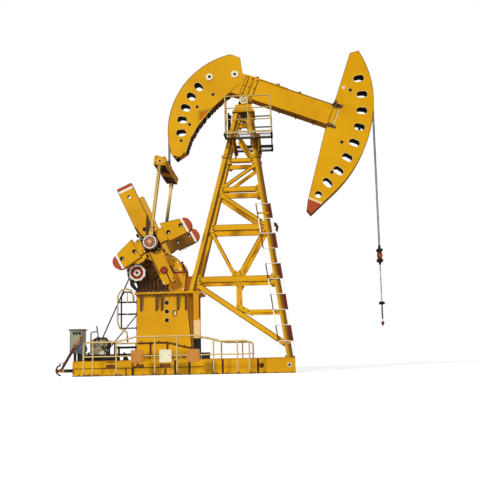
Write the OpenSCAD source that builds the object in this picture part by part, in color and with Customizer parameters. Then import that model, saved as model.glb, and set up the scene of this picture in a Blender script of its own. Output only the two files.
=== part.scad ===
// Pumping unit with two arc-shaped heads on one walking beam.
// Millimetres. +X toward the front head, +Z up. Origin at base level, on the centre
// plane, straight below the saddle pivot.

/* [Pivot and heads] */
// Height of the saddle pivot above the underside of the base
pivot_z = 7420; // [7400:5:7440]
// Downward slope of the walking beam toward the front head, degrees
tilt = 21.5; // [20.5:0.5:22.5]
// Radius of the side plates of the front head about the pivot
front_r = 3570; // [3540:5:3600]
// Radius of the side plates of the rear head about its own centre
rear_r = 2240; // [2225:5:2255]
// Overall width of both heads
head_w = 400; // [380:10:440]
// Depth that the rope lies below the edge of the side plates
groove = 30; // [20:2:40]

/* [Walking beam] */
// Height of the beam section
beam_h = 615; // [590:5:630]
// Width of the beam section
beam_w = 350; // [300:10:360]
// Gap between the pivot and the underside of the beam
beam_gap = 130; // [128:1:140]

/* [Crank] */
// Distance of the crank shaft behind the pivot
shaft_back = 2140; // [2120:5:2160]
// Height of the crank shaft above the underside of the base
shaft_z = 2690; // [2680:5:2710]
// Crank radius to the wrist pin
crank_r = 800; // [780:5:820]
// Lean of the crank arms from vertical in the rest pose, degrees
crank_lean = 25; // [22:0.5:28]
// Width of a crank arm
crank_w = 430; // [400:10:440]
// Inner face of a crank arm, from the centre plane
crank_in = 800; // [795:5:810]
// Thickness of a crank arm
crank_t = 150; // [120:5:155]

/* [Base and tower] */
// Height of the base beams
base_h = 390; // [380:5:400]
// Half of the width over the base beams
base_half = 760; // [740:5:770]
// Front end of the base
base_front = 1200; // [1190:10:1300]
// Rear end of the base, behind the pivot
base_back = 4570; // [4500:10:4700]
// Height of the top of the pedestal
ped_z = 2150; // [2140:2:2160]

/* [Hidden] */

yellow = [0.87, 0.63, 0.05];
brick = [0.62, 0.22, 0.12];
dark = [0.12, 0.11, 0.11];
steel = [0.5, 0.5, 0.52];
cream = [0.93, 0.88, 0.70];
grey = [0.62, 0.62, 0.54];

shaft = [-shaft_back, shaft_z];
pin = shaft + crank_r * [-sin(crank_lean), cos(crank_lean)];
input = [-2880, 2660];
motor_c = [-4040, 830];

// ---- helpers -----------------------------------------------------------
// 2D drawn in (X, Z), solid between two Y values
module xz(y0, y1) translate([0, y1, 0]) rotate([90, 0, 0]) linear_extrude(y1 - y0) children();
// 2D drawn in (Y, Z), solid between two X values
module yz(x0, x1) translate([x0, 0, 0]) rotate([90, 0, 90]) linear_extrude(x1 - x0) children();
module both() { children(); mirror([0, 1, 0]) children(); }
module box(a, b) translate(a) cube(b - a);
// cylinder along Y between two Y values, centre given in (X, Z)
module cyl_y(c, r, y0, y1) translate([c[0], y1, c[1]]) rotate([90, 0, 0]) cylinder(h = y1 - y0, r = r, $fn = 48);
// round bar from a to b
module rod(a, b, r, n = 16) {
  d = b - a; l = norm(d);
  translate(a) rotate([0, acos(d[2] / l), atan2(d[1], d[0])]) cylinder(h = l, r = r, $fn = n);
}
module ball(p, r) translate(p) sphere(r = r, $fn = 16);
// tube through a list of points
module tube(p, r) {
  for (i = [0:len(p) - 2]) rod(p[i], p[i + 1], r);
  if (len(p) > 2) for (i = [1:len(p) - 2]) ball(p[i], r);
}
// flat bar in 2D from a to b, width w
module bar2(a, b, w) {
  d = b - a; l = norm(d);
  translate(a) rotate(atan2(d[1], d[0])) translate([0, -w / 2]) square([l, w]);
}
module slot2(l, w) { square([l - w, w], center = true); for (s = [-1, 1]) translate([s * (l - w) / 2, 0]) circle(d = w, $fn = 40); }
// frame tied to the beam: origin at the pivot, x along the beam
module on_pivot() translate([0, 0, pivot_z]) children();
module in_beam() on_pivot() rotate([0, tilt, 0]) children();
function on_crank(u, v) = shaft + u * [-sin(crank_lean), cos(crank_lean)] + v * [cos(crank_lean), sin(crank_lean)];
module crank2() translate(shaft) rotate(crank_lean) children();

// ---- base --------------------------------------------------------------
module i_profile(w, h, tf, tw) {
  translate([-w / 2, 0]) square([w, tf]);
  translate([-w / 2, h - tf]) square([w, tf]);
  translate([-tw / 2, tf - 1]) square([tw, h - 2 * tf + 2]);
}
beam_c = base_half - 75;
module base_beams() color(yellow) both() difference() {
  union() {
    yz(-base_back, base_front) translate([-beam_c, 0]) i_profile(150, base_h, 16, 12);
    for (x = [-4400, -3560, -2960, -2560, -1960, -1440, -1080, -480, 300, 700])
      box([x, -base_half + 6, 15], [x + 14, -base_half + 144, base_h - 15]);
    box([-base_back, -base_half, 15], [-base_back + 14, -base_half + 150, base_h - 15]);
    box([base_front - 14, -base_half, 15], [base_front, -base_half + 150, base_h - 15]);
  }
  for (x = [-4300, 1000]) translate([x, -beam_c - 40, -1]) cylinder(h = 30, r = 17, $fn = 32);
}
module base_cross_members() color(yellow)
  for (x = [-4495, -3650, -2860, -2140, -1440, -700, 0, 1075])
    translate([x, 0, 0]) rotate([0, 0, 90]) yz(-base_half + 150, base_half - 150) i_profile(150, base_h - 8, 14, 10);
module base_deck() color(yellow) {
  box([-4560, -base_half + 160, base_h - 8], [-2990, base_half - 160, base_h]);
  box([-1200, -540, base_h - 8], [900, 540, base_h]);
}

// ---- pedestal ----------------------------------------------------------
module pedestal() color(yellow) difference() {
  union() {
    xz(-580, 580) polygon([[-2930, base_h], [-1440, base_h], [-1600, ped_z - 60], [-2930, ped_z - 60]]);
    both() for (x = [-2822, -2414, -2276, -1851, -1638])
      translate([x, -579, 0]) yz(0, 48) polygon([[0, ped_z - 60], [0, ped_z - 500], [-40, ped_z - 440], [-95, ped_z - 60]]);
    both() box([-2930, -640, base_h], [-1570, -579, base_h + 22]);
  }
  xz(-564, 564) polygon([[-2914, base_h - 1], [-1458, base_h - 1], [-1614, ped_z - 59], [-2914, ped_z - 59]]);
  for (z = [1410, 1640, 1870]) translate([-2125, 0, z]) rotate([90, 0, 0]) cylinder(h = 1400, r = 56, center = true, $fn = 40);
  translate([-1916, 700, 1590]) rotate([90, 0, 0]) linear_extrude(1400) rotate(90) slot2(118, 62);
  box([-3000, 600, 1500], [-2590, 800, 2200]);
}
module pedestal_top() color(yellow) difference() {
  box([-2960, -700, ped_z - 60], [-1225, 700, ped_z]);
  box([-2700, -420, ped_z - 61], [-1800, 420, ped_z + 1]);
  box([-3000, 600, 1500], [-2590, 800, 2200]);
}
module rear_posts() color(yellow) {
  difference() {
    box([-1420, -700, base_h], [-1240, -520, ped_z - 60]);
    box([-1410, -690, base_h + 120], [-1230, -530, ped_z - 140]);
  }
  difference() {
    box([-1562, 582, base_h], [-1402, 700, ped_z - 60]);
    box([-1552, 592, base_h + 120], [-1392, 690, ped_z - 140]);
  }
  xz(540, 552) polygon([[-1438, base_h], [-1421, base_h], [-1421, ped_z - 60], [-1598, ped_z - 60]]);
}

// ---- tower -------------------------------------------------------------
lean = 3.35;
foot_y = 676;
cap_z = 7040;
function left_x(z) = -590 - 0.2575 * (5820 - z);
function right_x(z) = 160 + 0.138 * (7030 - z);
// side frame plane: 2D (X, Z) extruded symmetrically about the leaning plane
module side(t, off = 0) translate([0, -foot_y, 400]) rotate([-lean, 0, 0]) translate([0, 0, -400])
  xz(-off - t / 2, -off + t / 2) children();
module left_leg2() polygon([for (z = [2100, 7100]) [left_x(z), z], for (z = [7100, 2100]) [left_x(z) + 150, z]]);
module right_leg2() polygon([for (z = [350, 7100]) [right_x(z) - 85, z], for (z = [7100, 350]) [right_x(z) + 85, z]]);
module legs2() { left_leg2(); right_leg2(); }
module leg_solids() {
  intersection() {
    side(150) left_leg2();
    box([-3000, -1500, ped_z + 20], [3000, 0, cap_z]);
  }
  intersection() {
    side(150) right_leg2();
    box([-3000, -1500, base_h + 20], [3000, 0, cap_z]);
  }
}
module tower_legs() color(yellow) both() {
  leg_solids();
  box([left_x(ped_z) - 40, -700, ped_z], [left_x(ped_z) + 200, -450, ped_z + 21]);
  box([right_x(base_h) - 140, -760, base_h], [right_x(base_h) + 120, -560, base_h + 21]);
  // bolted splice flanges
  side(210) translate([left_x(5800) - 30, 5775]) square([210, 50]);
  side(210) translate([right_x(5800) - 115, 5775]) square([230, 50]);
}
bars = [[6880, 130], [5700, 110], [4890, 140], [3840, 160], [2450, 160]];
module bars2() for (b = bars) translate([left_x(b[0]) + 60, b[0] - b[1] / 2]) square([right_x(b[0]) - left_x(b[0]) - 60, b[1]]);
module splice2() { translate([left_x(5800) - 30, 5775]) square([210, 50]); translate([right_x(5800) - 115, 5775]) square([230, 50]); }
module tower_crossbars() color(yellow) both() side(110) difference() {
  bars2();
  legs2();
  splice2();
}
// the bars of one side frame; bars that meet stop 1 mm apart
module v_left2() intersection() { bar2([-960, 3800], [-300, 2500], 96); translate([-1500, 2400]) square([1229, 1600]); }
module v_right2() intersection() { bar2([500, 3780], [-240, 2500], 96); translate([-270, 2400]) square([1500, 1600]); }
module long2(g = 0) bar2([-1400, 2380], [1150, 610], 135 + 2 * g);
module strut2(g = 0) difference() { bar2([-240, 2400], [-240, 1500], 92 + 2 * g); long2(1); }
module bent2() difference() {
  union() {
    bar2([-290, 1765], [40, 1585], 84);
    translate([20, 1553]) square([900, 84]);
  }
  strut2(1);
  long2(1);
}
module brace_set() {
  bar2([-190, 6420], [250, 5740], 88);
  bar2([-640, 4930], [330, 5600], 90);
  bar2([-720, 4790], [520, 3900], 112);
  v_left2();
  v_right2();
  long2();
  strut2();
  intersection() { bent2(); translate([-183, 1300]) square([1200, 600]); }
}
module tower_braces() color(yellow) both() side(80) difference() {
  brace_set();
  legs2();
  bars2();
  splice2();
}
module tower_ties() color(yellow) difference() {
  union() {
    for (z = [5700, 4890, 3840, 2450, 1590]) {
      y = 690 - 0.0585 * (z - 400);
      box([right_x(z) - 50, -y, z - 55], [right_x(z) + 50, y, z + 55]);
    }
    for (z = [3840, 2450]) {
      y = 690 - 0.0585 * (z - 400);
      box([left_x(z) + 20, -y, z - 55], [left_x(z) + 120, y, z + 55]);
    }
  }
  both() side(150) legs2();
  both() side(110) difference() { bars2(); legs2(); }
  both() side(80) difference() { brace_set(); legs2(); bars2(); }
}
module tower_cap() color(yellow) box([-320, -380, cap_z], [290, 380, cap_z + 60]);

// ---- saddle ------------------------------------------------------------
module saddle() color(yellow) {
  difference() {
    union() {
      box([-270, -310, cap_z + 60], [240, 310, cap_z + 130]);
      both() difference() {
        xz(-300, -165) union() {
          polygon([[-250, cap_z + 125], [225, cap_z + 125], [220, pivot_z - 130], [196, pivot_z - 122], [126, pivot_z + 8], [-126, pivot_z + 8], [-160, pivot_z - 122], [-240, pivot_z - 130]]);
          translate([0, pivot_z]) circle(r = 124, $fn = 48);
        }
      }
      both() cyl_y([0, pivot_z], 124, -316, -299);
    }
    cyl_y([0, pivot_z], 60.05, -301, 301);
  }
}
module beam_bearing() color(yellow) {
  cyl_y([0, pivot_z], 60, -300, 300);
  difference() {
    in_beam() xz(-150, 150) union() {
      circle(r = 110, $fn = 48);
      polygon([[-110, 0], [110, 0], [200, beam_gap], [-200, beam_gap]]);
    }
    cyl_y([0, pivot_z], 59.9, -290, 290);
  }
}

// ---- walking beam ------------------------------------------------------
beam_x0 = -200;
beam_x1 = 2540;
module walking_beam() color(yellow) in_beam() {
  difference() {
    union() {
      translate([beam_x0, -beam_w / 2, beam_gap]) cube([beam_x1 - beam_x0, beam_w, beam_h]);
      translate([beam_x0 + 20, -beam_w / 2 + 10, beam_gap + beam_h - 1]) cube([1210, beam_w - 20, 25]);
      for (x = [-185, -45, 95]) both() translate([x, -beam_w / 2 - 20, beam_gap + 12]) cube([62, 21, beam_h - 24]);
    }
    translate([beam_x0 - 1, -beam_w / 2 + 16, beam_gap + 20]) cube([beam_x1 - beam_x0 + 2, beam_w - 32, beam_h - 40]);
  }
}
module beam2(g) rotate(-tilt) translate([beam_x0 - g, beam_gap - g]) square([beam_x1 - beam_x0 + 2 * g, beam_h + 2 * g]);

// ---- front head --------------------------------------------------------
// upper part of the rope track: a smaller circle, tangent to the main one
up_c = 895;
up_r = front_r - up_c;
low_a = 48;
function track(r, a) = a >= 0 ? [up_c + (r - up_c) * cos(a), (r - up_c) * sin(a)] : [r * cos(a), r * sin(a)];
track_a = [for (a = [30:-2:0]) a, for (a = [-2:-2:-low_a]) a];
function tail_pt(r, l) = [r * cos(low_a) - l * sin(low_a), -r * sin(low_a) - l * cos(low_a)];
function front_pts(e, b) = concat(
  [[2970 + b, 1280 - 0.5 * b]],
  [for (a = track_a) track(front_r - e, a)],
  [tail_pt(front_r - e, 860 - b)],
  [[1640 + b, -3080], [1680 + b, -2810], [2190 + b, -950], [2480 + b, -150]]);
hole_a = [9.5, 1.3, -6.9, -15.1, -23.3, -31.3, -39.1, -46.9];
module front_holes() {
  for (a = hole_a) rotate(a) translate([a > 5 ? 3225 : 3255, 0]) slot2(300, 185);
  translate([1965, -2695]) circle(r = 93, $fn = 40);
  for (p = [[2940, 210], [2650, -1260], [2350, -2090]]) translate(p) circle(r = 46, $fn = 32);
}
module track_gap(p0, p1) polygon(concat(p0, [for (i = [len(p1) - 1:-1:0]) p1[i]]));
module front_head() color(yellow) on_pivot() {
  difference() {
    xz(-head_w / 2, head_w / 2) difference() {
      polygon(front_pts(0, 0));
      beam2(0);
      front_holes();
    }
    xz(-head_w / 2 + 14, head_w / 2 - 14) difference() {
      polygon(front_pts(groove + 16, 16));
      beam2(16);
      polygon([[1400, -2800], [2600, -3320], [2600, -4000], [1400, -4000]]);
    }
    // rope track between the side plates
    xz(-head_w / 2 + 14, head_w / 2 - 14) track_gap(
      [for (a = track_a) track(front_r + 60, a)], [for (a = track_a) track(front_r - groove, a)]);
  }
}

// ---- rear head ---------------------------------------------------------
rear_c = [110, -810];
rear_a = [for (a = [102:3:197]) a];
function rear_arc(r) = [for (a = rear_a) rear_c + r * [cos(a), sin(a)]];
function rear_pts(e, b) = concat(
  [[88, 767 - b], [-20 - b, 810 - b], [-80 - b, 1270 - b]],
  rear_arc(rear_r - e),
  [[-1910 - 0.2 * b, -1580 + b], [-1625 - b, -1390 + 0.6 * b], [-1500 - b, -1010], [-1290 - b, -650 + 0.6 * b], [-1050 - 0.7 * b, -350 + 0.7 * b],
   [-800 - 0.7 * b, -90 + 0.7 * b], [-520 - 0.6 * b, 165 + 0.8 * b], [-370, 270 + b], [-138, 195 + b]]);
module rear_holes() {
  for (a = [137, 147.5, 158.5, 169.5, 181]) translate(rear_c) rotate(a) translate([1865, 0]) slot2(280, 190);
  for (p = [[-860, 230], [-1300, -110], [-1520, -610], [-1760, -1060], [-950, 740], [-240, 790]]) translate(p) circle(r = 42, $fn = 32);
}
module rear_head() color(yellow) on_pivot() {
  difference() {
    xz(-head_w / 2, head_w / 2) difference() {
      polygon(rear_pts(0, 0));
      beam2(0);
      rear_holes();
    }
    both() xz(-head_w / 2 - 1, -8) polygon([[-1240, -270], [-960, -215], [-1235, -510]]);
    both() xz(-head_w / 2 + 14, -8) difference() {
      polygon(rear_pts(groove + 16, 16));
      beam2(16);
    }
    xz(-head_w / 2 + 14, head_w / 2 - 14) track_gap(rear_arc(rear_r + 60), rear_arc(rear_r - groove));
  }
  // raised rings round the two lifting holes
  both() xz(-head_w / 2 - 18, -head_w / 2) for (p = [[-950, 740], [-240, 790]]) translate(p) difference() { circle(r = 95, $fn = 40); circle(r = 42, $fn = 32); }
}

// ---- ropes -------------------------------------------------------------
rope = 14;
front_rope_r = front_r - groove + rope + 1;
rear_rope_r = rear_r - groove + rope + 1;
rope_y = [-110, 110];
module torus_part(c, r, a0, a1) translate([c[0], 0, c[1]]) rotate([90, 0, 0]) rotate([0, 0, a0])
  rotate_extrude(angle = a1 - a0, $fn = 120) translate([r, 0]) circle(r = rope, $fn = 16);
module wrapped_ropes() color(dark) on_pivot() for (y = rope_y) translate([0, y, 0]) {
  torus_part([up_c, 0], front_rope_r - up_c, 0, 27);
  torus_part(rear_c, rear_rope_r, 125, 180);
}
equal_z = 5570;
equal_x = -2200;
module rear_rope_tail() color(dark) for (y = rope_y)
  translate([rear_c[0] - rear_rope_r, y, equal_z + 130]) cylinder(h = pivot_z + rear_c[1] - 8 - (equal_z + 130), r = rope, $fn = 16);
carrier_z = 3215;
module hanging_ropes() color(steel) for (y = rope_y)
  translate([front_rope_r, y, carrier_z + 2]) cylinder(h = pivot_z - 4 - (carrier_z + 2), r = rope, $fn = 16);

// ---- carrier -----------------------------------------------------------
module carrier_bar() color(brick) {
  difference() {
    union() {
      box([front_rope_r - 75, -150, carrier_z - 55], [front_rope_r + 75, 150, carrier_z]);
      box([front_rope_r - 55, -70, carrier_z - 280], [front_rope_r + 55, 70, carrier_z - 54]);
      box([front_rope_r - 80, -95, carrier_z - 345], [front_rope_r + 80, 95, carrier_z - 279]);
      translate([front_rope_r, 0, carrier_z - 430]) cylinder(h = 86, r1 = 22, r2 = 42, $fn = 32);
    }
    translate([front_rope_r, 0, carrier_z - 440]) cylinder(h = 500, r = 16, $fn = 32);
  }
}
module polished_rod() color(steel) translate([front_rope_r, 0, 0]) {
  translate([0, 0, 1150]) cylinder(h = carrier_z + 60 - 1150, r = 16, $fn = 32);
  translate([0, 0, 1730]) cylinder(h = 80, r = 80, $fn = 40);
  translate([0, 0, 1150 + 60]) cylinder(h = 70, r = 42, $fn = 6);
}

// ---- crank, counterweights, pitmans -------------------------------------
arm_low = crank_w / 2 - 45;
// the weights sit slightly turned on the arms
module on_weights() translate([25, 810]) rotate(3.5) translate([0, -800]) children();
module crank_shaft() color(brick) cyl_y(shaft, 95, -crank_in - crank_t - 22, crank_in + crank_t + 22);
module arm_outline2() polygon([[-arm_low, -330], [-arm_low + 40, -370], [arm_low - 40, -370], [arm_low, -330], [arm_low, 330], [crank_w / 2, 450],
  [crank_w / 2, 2480], [crank_w / 2 - 20, 2500], [-crank_w / 2 + 20, 2500], [-crank_w / 2, 2480], [-crank_w / 2, 450], [-arm_low, 330]]);
module arm2() difference() {
  arm_outline2();
  circle(r = 95, $fn = 48);
  for (u = [1203, 2170]) translate([0, u]) circle(r = 45, $fn = 32);
  translate([0, crank_r]) circle(r = 60.5, $fn = 48);
}
module cranks() color(yellow) both() {
  xz(-crank_in - crank_t, -crank_in) crank2() arm2();
}
module weight2() {
  polygon([[150, 640], [420, 640], [420, 590], [960, 555], [960, 955], [420, 1120], [420, 1010], [150, 1010]]);
  intersection() {
    translate([953, 755]) circle(r = 204, $fn = 48);
    translate([955, 500]) square([400, 500]);
  }
}
module weight_holes2() for (v = [510, 880]) translate([v, 800]) circle(r = 48, $fn = 32);
module counterweights() color(yellow) both() xz(-crank_in - 205, -crank_in + 5) crank2() difference() {
  on_weights() for (s = [0, 1]) mirror([s, 0]) difference() { weight2(); weight_holes2(); }
  arm_outline2();
}
module wrist_pins() color(cream) both() {
  cyl_y(pin, 60, -1150, -crank_in);
  cyl_y(pin, 95, -1165, -1150);
}
pit_len = norm([equal_x, equal_z] - pin);
pit_a = atan2(equal_z - pin[1], equal_x - pin[0]);
module pitmans() color(yellow) both() xz(-1145, -1025) difference() {
  union() {
    translate(pin) circle(r = 195, $fn = 48);
    translate(pin) rotate(pit_a) {
      polygon([[100, -75], [100, 75], [330, 38], [330, -38]]);
      translate([320, -37]) square([pit_len - 440.2, 74]);
    }
  }
  translate(pin) circle(r = 60.05, $fn = 48);
}
eq_r = [cos(pit_a), sin(pit_a)];
module equaliser() color(yellow) difference() {
  union() {
    xz(-1165, 1165) translate([equal_x, equal_z]) rotate(pit_a - 90) polygon([[-150, -120], [150, -120], [165, 60], [120, 120], [40, 90], [-60, 120], [-150, 110]]);
    box([rear_c[0] - rear_rope_r - 50, -170, equal_z + 40], [rear_c[0] - rear_rope_r + 50, 170, equal_z + 130]);
  }
}

// ---- gearbox and drive ---------------------------------------------------
module gearbox() color(yellow) {
  gear_foot();
  difference() {
  xz(-520, 520) union() {
    translate(shaft) circle(r = 445, $fn = 64);
    translate(input) circle(r = 200, $fn = 48);
    polygon([[-2900, ped_z], [-1760, ped_z], [-1740, shaft_z - 100], [-2140, shaft_z + 445], [-2880, 2860], [-2940, 2500]]);
  }
  cyl_y(shaft, 95.05, -600, 600);
  }
}
// tapered boxes and their rims on both sides of the case
module gear_foot() {
  both() difference() {
    xz(-700, -520) polygon([[-2010, ped_z], [-1640, ped_z], [-1590, 2640], [-2010, 2640]]);
    cyl_y(shaft, 130, -705, -519);
  }
  both() xz(-720, -519) polygon([[-2020, 2640], [-1560, 2640], [-1560, 2665], [-2020, 2665]]);
}
module brake_drum() color(brick) difference() {
  union() {
    cyl_y(input, 226, -770, -640);
    cyl_y(input, 80, -785, -769);
  }
  cyl_y(input, 40, -790, -519);
}
module driven_sheave() color(dark) difference() {
  union() {
    cyl_y(input, 445, 610, 770);
    cyl_y(input, 40, -786, -520);
    cyl_y(input, 40, 520, 611);
  }
  for (y = [720, 609]) difference() {
    cyl_y(input, 400, y, y + 51);
    cyl_y(input, 95, y - 1, y + 52);
  }
  for (a = [0:60:359]) translate([input[0] + 240 * cos(a), 800, input[1] + 240 * sin(a)]) rotate([90, 0, 0]) cylinder(h = 240, r = 90, $fn = 32);
}
belt_d = motor_c - input;
belt_l = norm(belt_d);
belt_a = atan2(belt_d[1], belt_d[0]);
belt_R = 465;
belt_s = 160;
belt_b = asin((belt_R - belt_s) / belt_l);
function belt_pts(o) = concat(
  [for (a = [90 - belt_b + 0:12:270 + belt_b]) input + (belt_R + o) * [cos(belt_a + a), sin(belt_a + a)]],
  [for (a = [-90 + belt_b:12:90 - belt_b + 0.1]) motor_c + (belt_s + o) * [cos(belt_a + a), sin(belt_a + a)]]);
module drive_belts() color(dark) xz(622, 758) difference() {
  polygon(belt_pts(0));
  polygon(belt_pts(-14));
}
module motor_sheave() color(dark) {
  difference() {
    cyl_y(motor_c, belt_s - 20, 610, 770);
    cyl_y(motor_c, 28, 500, 780);
  }
}
module motor() color(grey) {
  difference() {
    union() {
      cyl_y(motor_c, 168, -340, 420);
      cyl_y(motor_c, 145, -400, -339);
      cyl_y(motor_c, 145, 419, 480);
      box([motor_c[0] - 200, -280, 560], [motor_c[0] + 200, 280, 700]);
      box([motor_c[0] + 120, -60, motor_c[1] - 70], [motor_c[0] + 250, 160, motor_c[1] + 60]);
    }
  }
  cyl_y(motor_c, 28, 479, 775);
}
module motor_seat() color(dark) {
  for (y = [-230, 230]) difference() {
    box([-4440, y - 60, base_h], [-3560, y + 60, 560]);
    box([-4441, y - 50, base_h + 14], [-3559, y + 61, 546]);
  }
  both() tube([[-3700, -320, base_h], [-3700, -320, 900], [-3700, -180, 900]], 20);
}

// ---- cabinet and brake lever ---------------------------------------------
module control_cabinet() color(grey) {
  difference() {
    box([-4658, -725, 607], [-4342, -285, 1200]);
    for (x = [-4582, -4505, -4428]) box([x, -726, 1080], [x + 60, -715, 1152]);
  }
  translate([-4498, -505, 1199]) linear_extrude(28) square([372, 490], center = true);
  for (x = [-4552, -4402], y = [-715, -355]) box([x, y, base_h], [x + 56, y + 50, 608]);
}
lever_p = [-4850, 170];
lever_y = -800;
module brake_quadrant() color(brick) {
  box([lever_p[0] - 120, lever_y - 40, 110], [-base_back, lever_y - 14, 200]);
  box([-base_back - 60, lever_y - 40, 110], [-base_back, -base_half + 20, 200]);
  xz(lever_y - 34, lever_y - 14) difference() {
    translate(lever_p) circle(r = 150, $fn = 40);
    translate(lever_p) circle(r = 105, $fn = 40);
    translate(lever_p + [0, -160]) square([200, 320]);
    translate(lever_p + [-10, -160]) square([60, 80]);
  }
  cyl_y(lever_p, 24, lever_y - 40, lever_y + 30);
}
module brake_lever() color(brick) {
  difference() {
    xz(lever_y - 9, lever_y + 9) union() {
      translate(lever_p) circle(r = 50, $fn = 32);
      bar2(lever_p, [-4420, 890], 46);
    }
    cyl_y(lever_p, 24.05, lever_y - 60, lever_y + 60);
  }
  rod([-4436, lever_y, 863], [-4325, lever_y, 1050], 24);
}

// ---- rails, ladders, platform ---------------------------------------------
module platform_brackets() color(yellow) difference() {
  union() {
    box([-345, -950, 6170], [-245, 950, 6270]);
    box([340, -950, 6170], [440, 950, 6270]);
  }
  both() side(150) legs2();
  both() side(80) difference() { brace_set(); legs2(); bars2(); }
}
module platform_decks() color(yellow) both() {
  difference() {
    box([-520, -950, 6270], [775, -440, 6335]);
    box([-505, -935, 6300], [760, -455, 6340]);
  }
}
rail_r = 20;
module platform_rails() color(yellow) both() {
  x0 = -483; x1 = 738; y0 = -477; y1 = -913;
  for (z = [6680, 7000, 7330]) {
    r = z > 7300 ? 22 : 16;
    rod([x0, y1, z], [x1, y1, z], r);
    rod([x0, y0, z], [x0, y1, z], r);
  }
  for (p = [[x0, y0], [x0, y1], [x1, y1], [130, y1]]) rod([p[0], p[1], 6300], [p[0], p[1], 7330], rail_r);
  for (p = [[x1, y1], [x0, y1], [x0, y0]]) ball([p[0], p[1], 7330], 22);
}
module tower_ladder() color(brick) {
  top = 4480;
  side(40, 100) {
    for (q = [[-240, 22], [109, 41]]) polygon([[right_x(420) + q[0] - q[1], 420], [right_x(420) + q[0] + q[1], 420], [right_x(top) + q[0] + q[1], top], [right_x(top) + q[0] - q[1], top]]);
    for (z = [808:405:4453]) translate([right_x(z) - 240, z - 13]) square([350, 26]);
  }
  side(20, 85) for (z = [760, 2480, 4200]) translate([right_x(z) - 240, z - 30]) square([350, 60]);
}
module pedestal_ladder() color(cream) {
  y = -600;
  tube([[-3165, y, 1010], [-3170, y, 1130], [-3360, y, 1220], [-3420, y, 1380], [-3420, y, 2050], [-3320, y, 2240], [-3110, y, 2240], [-3010, y, 2050], [-3010, y, 1905]], 20);
  tube([[-3330, y, 1215], [-3330, y, 2060], [-3270, y, 2170], [-3080, y, 2170]], 16);
  for (z = [1225, 1592, 1905]) rod([z < 1300 ? -3330 : -3420, y, z], [-2933, -565, z], 16);
}
guard_y = 1300;
post_x = [-4140, -3905, -3310, -2330, -1770, -850, -250, 50];
rail_p = [[-4140, 860], [-3310, 860], [-2810, 980], [-1260, 980], [-710, 830], [50, 830]];
// outline of the top rail: the points above the line, then those below
function rail_up(d) = [for (i = [0:len(rail_p) - 1]) rail_p[i] + [i == 0 ? -22 : i == len(rail_p) - 1 ? 22 : 0, d]];
module guard2() {
  polygon(concat(rail_up(22), [for (i = [len(rail_p) - 1:-1:0]) rail_up(-22)[i]]));
  translate([-4140, 482]) square([4190, 36]);
  for (x = post_x) translate([x - 22, 62]) square([44, (x < -3000 ? 860 : x < -1200 ? 980 : 830) - 62]);
}
module guard_rails() color(cream) both() xz(-guard_y - 22, -guard_y + 22) guard2();
module guard_rail_feet() color(cream) both() for (x = post_x)
  box([x - 22, -guard_y - 22, 18], [x + 22, -base_half + 69, 62]);
module sign_plates() color(grey) for (x = [-2930, -2210, -1500])
  box([x, -guard_y - 30, 330], [x + 310, -guard_y - 22, 650]);

base_beams();
base_cross_members();
base_deck();
pedestal();
pedestal_top();
rear_posts();
tower_legs();
tower_crossbars();
tower_braces();
tower_ties();
tower_cap();
saddle();
platform_brackets();
platform_decks();
platform_rails();
tower_ladder();
gearbox();
brake_drum();
driven_sheave();
drive_belts();
motor_sheave();
motor();
motor_seat();
control_cabinet();
brake_quadrant();
pedestal_ladder();
guard_rails();
guard_rail_feet();
sign_plates();
crank_shaft();
cranks();
counterweights();
wrist_pins();
pitmans();
equaliser();
rear_rope_tail();
walking_beam();
beam_bearing();
front_head();
rear_head();
wrapped_ropes();
hanging_ropes();
carrier_bar();
polished_rod();
brake_lever();
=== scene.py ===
import bpy, math, random
from mathutils import Vector, Matrix


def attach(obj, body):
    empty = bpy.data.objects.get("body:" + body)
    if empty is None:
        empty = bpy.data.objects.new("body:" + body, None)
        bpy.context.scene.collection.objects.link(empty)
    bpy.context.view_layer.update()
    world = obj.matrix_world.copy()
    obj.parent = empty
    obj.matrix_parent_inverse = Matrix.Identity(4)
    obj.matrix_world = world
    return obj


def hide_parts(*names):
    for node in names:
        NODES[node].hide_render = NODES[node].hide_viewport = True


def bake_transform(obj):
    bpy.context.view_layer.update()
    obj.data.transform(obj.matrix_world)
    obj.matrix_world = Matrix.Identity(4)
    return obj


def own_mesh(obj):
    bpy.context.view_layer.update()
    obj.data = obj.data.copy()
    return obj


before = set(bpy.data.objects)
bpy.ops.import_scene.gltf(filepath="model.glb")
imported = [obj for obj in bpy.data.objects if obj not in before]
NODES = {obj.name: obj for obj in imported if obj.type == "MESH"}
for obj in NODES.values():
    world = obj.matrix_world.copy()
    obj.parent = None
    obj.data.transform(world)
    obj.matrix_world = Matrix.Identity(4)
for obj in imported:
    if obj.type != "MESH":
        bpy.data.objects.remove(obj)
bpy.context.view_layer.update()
scene = bpy.context.scene
random.seed(7)

# ---------------------------------------------------------------- key sizes (metres)
PZ, TILT = 7.42, math.radians(21.5)
FR, RR, HW, GROOVE = 3.57, 2.24, 0.40, 0.030
BH, BW, GAP = 0.615, 0.35, 0.13
SH = (-2.14, 2.69)
LEAN = math.radians(25)
PIN = (SH[0] - 0.8 * math.sin(LEAN), SH[1] + 0.8 * math.cos(LEAN))
INP = (-2.88, 2.66)
MOT = (-4.04, 0.83)
RC = (0.11, PZ - 0.81)
UPC = 0.895
LOW = math.radians(48)
ROPE = 0.014
ROPE_R = FR - GROOVE + ROPE + 0.001
RROPE_R = RR - GROOVE + ROPE + 0.001
CARR = 3.215
EQ = (-2.20, 5.57)
SL = math.radians(3.35)


def left_x(z):
    return -0.590 - 0.2575 * (5.820 - z)


def right_x(z):
    return 0.160 + 0.138 * (7.030 - z)


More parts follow.
